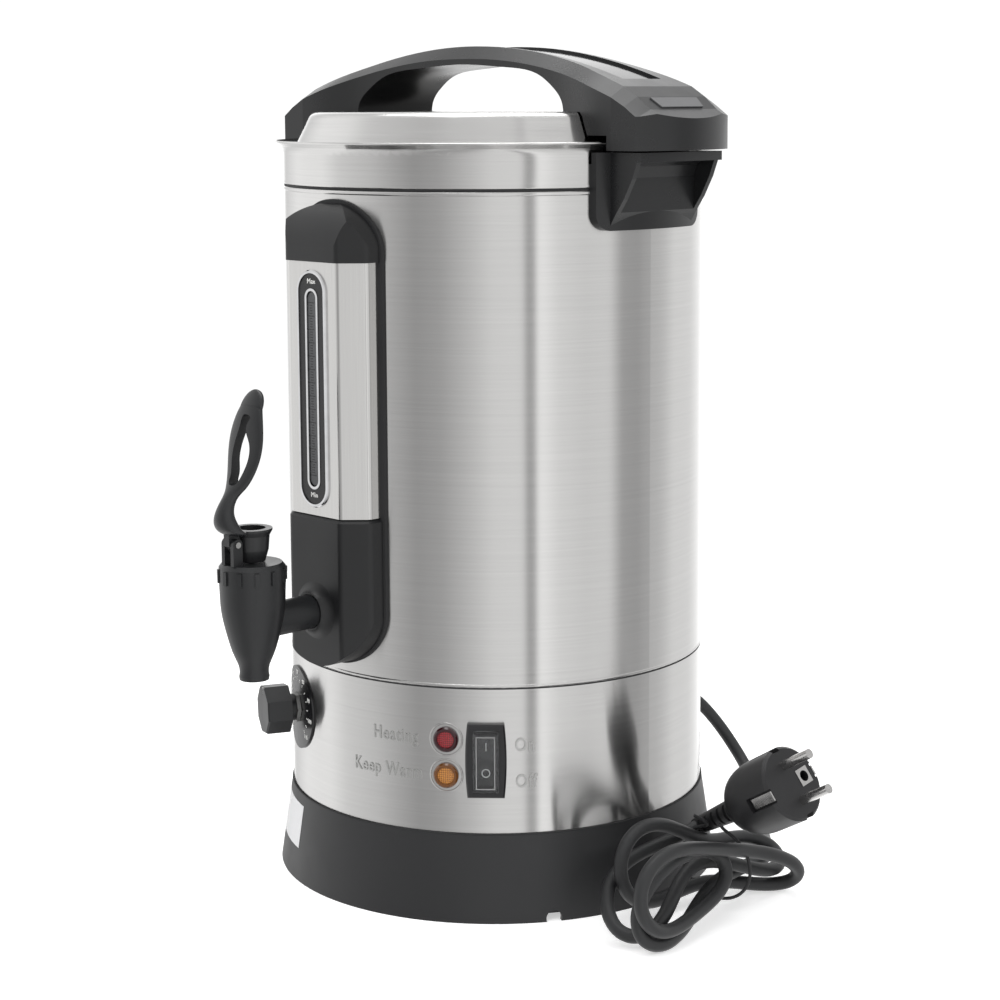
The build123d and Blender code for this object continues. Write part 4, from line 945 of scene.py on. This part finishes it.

# coil spring over the tap's stem, a fixed shape
springSetting = {
    "axisY": -166.0,
    "low": 158.0,
    "high": 179.6,
    "radius": 6.6,
    "wire": 0.8,
    "turns": 4.5,
    "steps": 150,
    "around": 10,
    "travel": 4.8,
}


def makeCoil(values):
    work = bmesh.new()
    rows = []
    wire, tall = values["wire"], values["high"] - values["low"]
    middle = Vector((0, values["axisY"], values["low"] + wire))
    for i in range(values["steps"] + 1):
        part = i / values["steps"]
        a = 2 * math.pi * values["turns"] * part
        out = Vector((math.cos(a), math.sin(a), 0))
        here = middle + out * values["radius"] + upward * (tall - 2 * wire) * part
        rows.append([
            work.verts.new((here + out * c + upward * s) * mm)
            for c, s in circlePoints(values["around"], wire)
        ])
    skinRows(work, rows, caps=True)
    coil = keepPiece("stem_coil", work, "body", "plainSteel", smooth=True)
    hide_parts("tap_spring")
    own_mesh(coil)


makeCoil(springSetting)

# round end on the lever's loop
tipSetting = {
    "centre": (0, -164.5, 258.8),
    "along": (0, 3.0, 6.7),
    "half": (8.0, 2.5),
    "bulge": 0.6,
    "rise": 9.3,
    "rings": 14,
    "steps": 36,
}


def makeLeverTip(values):
    work = bmesh.new()
    along = Vector(values["along"]).normalized()
    thick = rightward.cross(along)
    centre = Vector(values["centre"])
    halfWide, halfDeep = values["half"]
    rows = []
    for i in range(values["rings"]):
        a = math.pi / 2 * i / values["rings"]
        at = centre + along * values["rise"] * math.sin(a)
        wide = rightward * halfWide * math.cos(a)
        deep = thick * halfDeep * math.cos(a) ** values["bulge"]
        rows.append([
            work.verts.new((at + wide * c + deep * s) * mm)
            for c, s in circlePoints(values["steps"])
        ])
    skinRows(work, rows)
    end = work.verts.new((centre + along * values["rise"]) * mm)
    for j, point in enumerate(rows[-1]):
        work.faces.new((rows[-1][j - 1], point, end))
    work.faces.new(rows[0][::-1])
    keepPiece("lever_tip", work, "lever", "tapPlastic", smooth=True)


makeLeverTip(tipSetting)
print("spring and lever tip made")

# rolled sheet edges, and dark rings beside them painted as the shade in the seams, turned round the urn:
# radius and height
ringSetting = {
    "steps": 240,
    "steel": [
        [(109.3, 119.9), (109.98, 119.7), (110.3, 119.1), (110.3, 118.6), (109.95, 118.2), (109.3, 118.1)],
        [(109.3, 359.0), (110.02, 359.2), (110.42, 359.9), (110.42, 360.6), (110.0, 361.2), (109.3, 361.4)],
        [
            (109.2, 362.5), (109.9, 362.55), (110.3, 363.0), (110.3, 363.7), (110.06, 364.4), (110.06, 377.4),
            (110.2, 378.9), (110.7, 380.5), (111.7, 382.0), (113.2, 383.1), (114.25, 383.9), (114.35, 384.3),
            (114.1, 384.6), (112.9, 384.0), (109.6, 381.0), (109.2, 378.0),
        ],
    ],
    # painted shade: dark rings where band, shell, lid and skirt meet, standing for the shadow in those seams
    "dark": [
        [(109.2, 117.3), (110.04, 117.35), (110.04, 118.15), (109.2, 118.2)],
        [(108.8, 361.1), (109.75, 361.2), (109.75, 362.65), (108.8, 362.7)],
        [(110.3, 43.35), (110.85, 43.4), (110.85, 43.95), (110.3, 44.0)],
    ],
}


def turnedRings(name, profiles, steps, finish):
    work = bmesh.new()
    for profile in profiles:
        skinRows(work, [
            [work.verts.new((r * c * mm, r * s * mm, z * mm)) for r, z in profile]
            for c, s in circlePoints(steps)
        ], ring=True)
    keepPiece(name, work, "body", finish, smooth=True)


turnedRings("rolled_edges", ringSetting["steel"], ringSetting["steps"], "bodySteel")
# painted seam shade, given the rubber-black finish
turnedRings("joint_lines", ringSetting["dark"], ringSetting["steps"], "rubberBlack")
print("rolled edges made")

# blank film label on the skirt
labelSetting = {
    "fromAzimuth": -62.0,
    "toAzimuth": -20.0,
    "steps": 24,
    "low": 16.0,
    "high": 38.0,
    "lift": 0.02,
    "thick": 0.12,
    "skirt": (117.3, 110.8, 43.3),    # radius at the floor, radius at the top, height
}


def makeLabel(values):
    work = bmesh.new()
    wide, narrow, tall = values["skirt"]
    first, last, steps = values["fromAzimuth"], values["toAzimuth"], values["steps"]
    low, high, lift, thick = (values[key] for key in ("low", "high", "lift", "thick"))
    skinRows(work, [
        [
            work.verts.new(aroundUrn(a, wide - (wide - narrow) * z / tall + out, z))
            for z, out in ((low, lift), (low, thick), (high, thick), (high, lift))
        ]
        for a in (math.radians(first + (last - first) * i / steps) for i in range(steps + 1))
    ], caps=True)
    keepPiece("blank_label", work, "body", "labelFilm")


makeLabel(labelSetting)
print("blank label made")

# floor, world and lights
studioSetting = {
    "floorSize": 1.5,
    "floorTone": (0.8, 0.8, 0.8),
    "floorShade": 0.985,
    "floorGlow": 0.48,
    "backdrop": 1.05,
    "topTone": (0.6, 0.6, 0.6),
    "topFrom": (0.45, 0.85),    # upward part of the direction where the top blends in
    "brightest": 1.3,
    # brightness round the urn, by azimuth from the tap side towards the right bracket
    "ring": [
        (-180, 0.95), (-165, 1.15), (-150, 1.5), (-128, 1.5), (-112, 0.75), (-88, 1.15), (-60, 1.15),
        (-46, 0.9), (-24, 0.74), (-10, 0.56), (2, 0.43), (16, 0.5), (30, 0.7), (44, 0.93), (60, 0.98),
        (63, 0.45), (66, 0.5), (69, 1.25), (80, 0.98), (95, 0.88), (110, 0.92), (118, 0.5), (130, 0.46),
        (138, 0.6), (150, 0.75), (160, 0.95), (180, 0.95),
    ],
}


def makeWorld(values):
    world = bpy.data.worlds.new("softStudio")
    world.use_nodes = True
    tree = world.node_tree
    tree.nodes.clear()
    x, y, z = splitAxes(tree, addNode(tree, "ShaderNodeTexCoord").outputs["Generated"])
    angle = valueMath(tree, "ARCTAN2", x, valueMath(tree, "MULTIPLY", y, -1.0))
    ramp = addNode(tree, "ShaderNodeValToRGB", {"Fac": mapTo(tree, angle, 0.0, 1.0, -math.pi, math.pi)})
    elements = ramp.color_ramp.elements
    for azimuth, light in values["ring"][1:-1]:
        elements.new((azimuth + 180) / 360)
    for element, (azimuth, light) in zip(elements, values["ring"]):
        element.color = toned((light, light, light), 1 / values["brightest"])
    lifted = mapTo(tree, z, 0.0, 1.0, *values["topFrom"])
    soft = addNode(tree, "ShaderNodeBackground", {
        "Color": mixTones(tree, lifted, ramp.outputs["Color"], toned(values["topTone"])),
        "Strength": values["brightest"],
    })
    plain = addNode(tree, "ShaderNodeBackground", {"Color": (1, 1, 1, 1), "Strength": values["backdrop"]})
    seen = addNode(tree, "ShaderNodeLightPath").outputs["Is Camera Ray"]
    choose = addNode(tree, "ShaderNodeMixShader", {0: seen, 1: soft.outputs[0], 2: plain.outputs[0]})
    addNode(tree, "ShaderNodeOutputWorld", {"Surface": choose.outputs[0]})
    bpy.context.scene.world = world


def makeFloor(values):
    mesh = bpy.data.meshes.new("floor")
    rim = [(x, y, 0) for x, y in circlePoints(72, values["floorSize"] / 2)]
    mesh.from_pydata(rim, [], [tuple(range(len(rim)))])
    floor = bpy.data.objects.new("floor", mesh)
    bpy.context.scene.collection.objects.link(floor)
    tree, surface, place = startMaterial("floorPaper")
    tone = values["floorTone"]
    shade = mixTones(tree, noiseAt(tree, place, 30.0, 2.0), toned(tone, values["floorShade"]), toned(tone))
    feed(tree, surface, {
        "Base Color": shade,
        "Roughness": 0.7,
        "Specular IOR Level": 0.2,
        "Emission Color": (1, 1, 1, 1),
        "Emission Strength": values["floorGlow"],
    })
    mesh.materials.append(finishes["floorPaper"])
    floor.visible_glossy = False


lightAim = Vector((0, 0, 0.2))
lightSetting = [
    {"name": "keySoftbox", "from": (0.35, -1.5, 1.5), "size": 1.1, "power": 14, "glossy": False},
    {"name": "rightSoftbox", "from": (1.7, 0.35, 1.0), "size": 0.9, "power": 9, "glossy": False},
    {"name": "topSoftbox", "from": (-0.2, 0.1, 1.7), "size": 1.2, "power": 12, "glossy": True},
]


def makeLight(values):
    data = bpy.data.lights.new(values["name"], "AREA")
    data.shape = "SQUARE"
    data.size = values["size"]
    data.energy = values["power"]
    lamp = bpy.data.objects.new(values["name"], data)
    lamp.visible_glossy = values["glossy"]
    bpy.context.scene.collection.objects.link(lamp)
    place = Vector(values["from"])
    turn = (place - lightAim).to_track_quat("Z", "Y").to_matrix().to_4x4()
    lamp.matrix_world = Matrix.Translation(place) @ turn


makeWorld(studioSetting)
makeFloor(studioSetting)
for lightValues in lightSetting:
    makeLight(lightValues)
bpy.context.scene.view_settings.view_transform = "Standard"
print("floor and lights set")
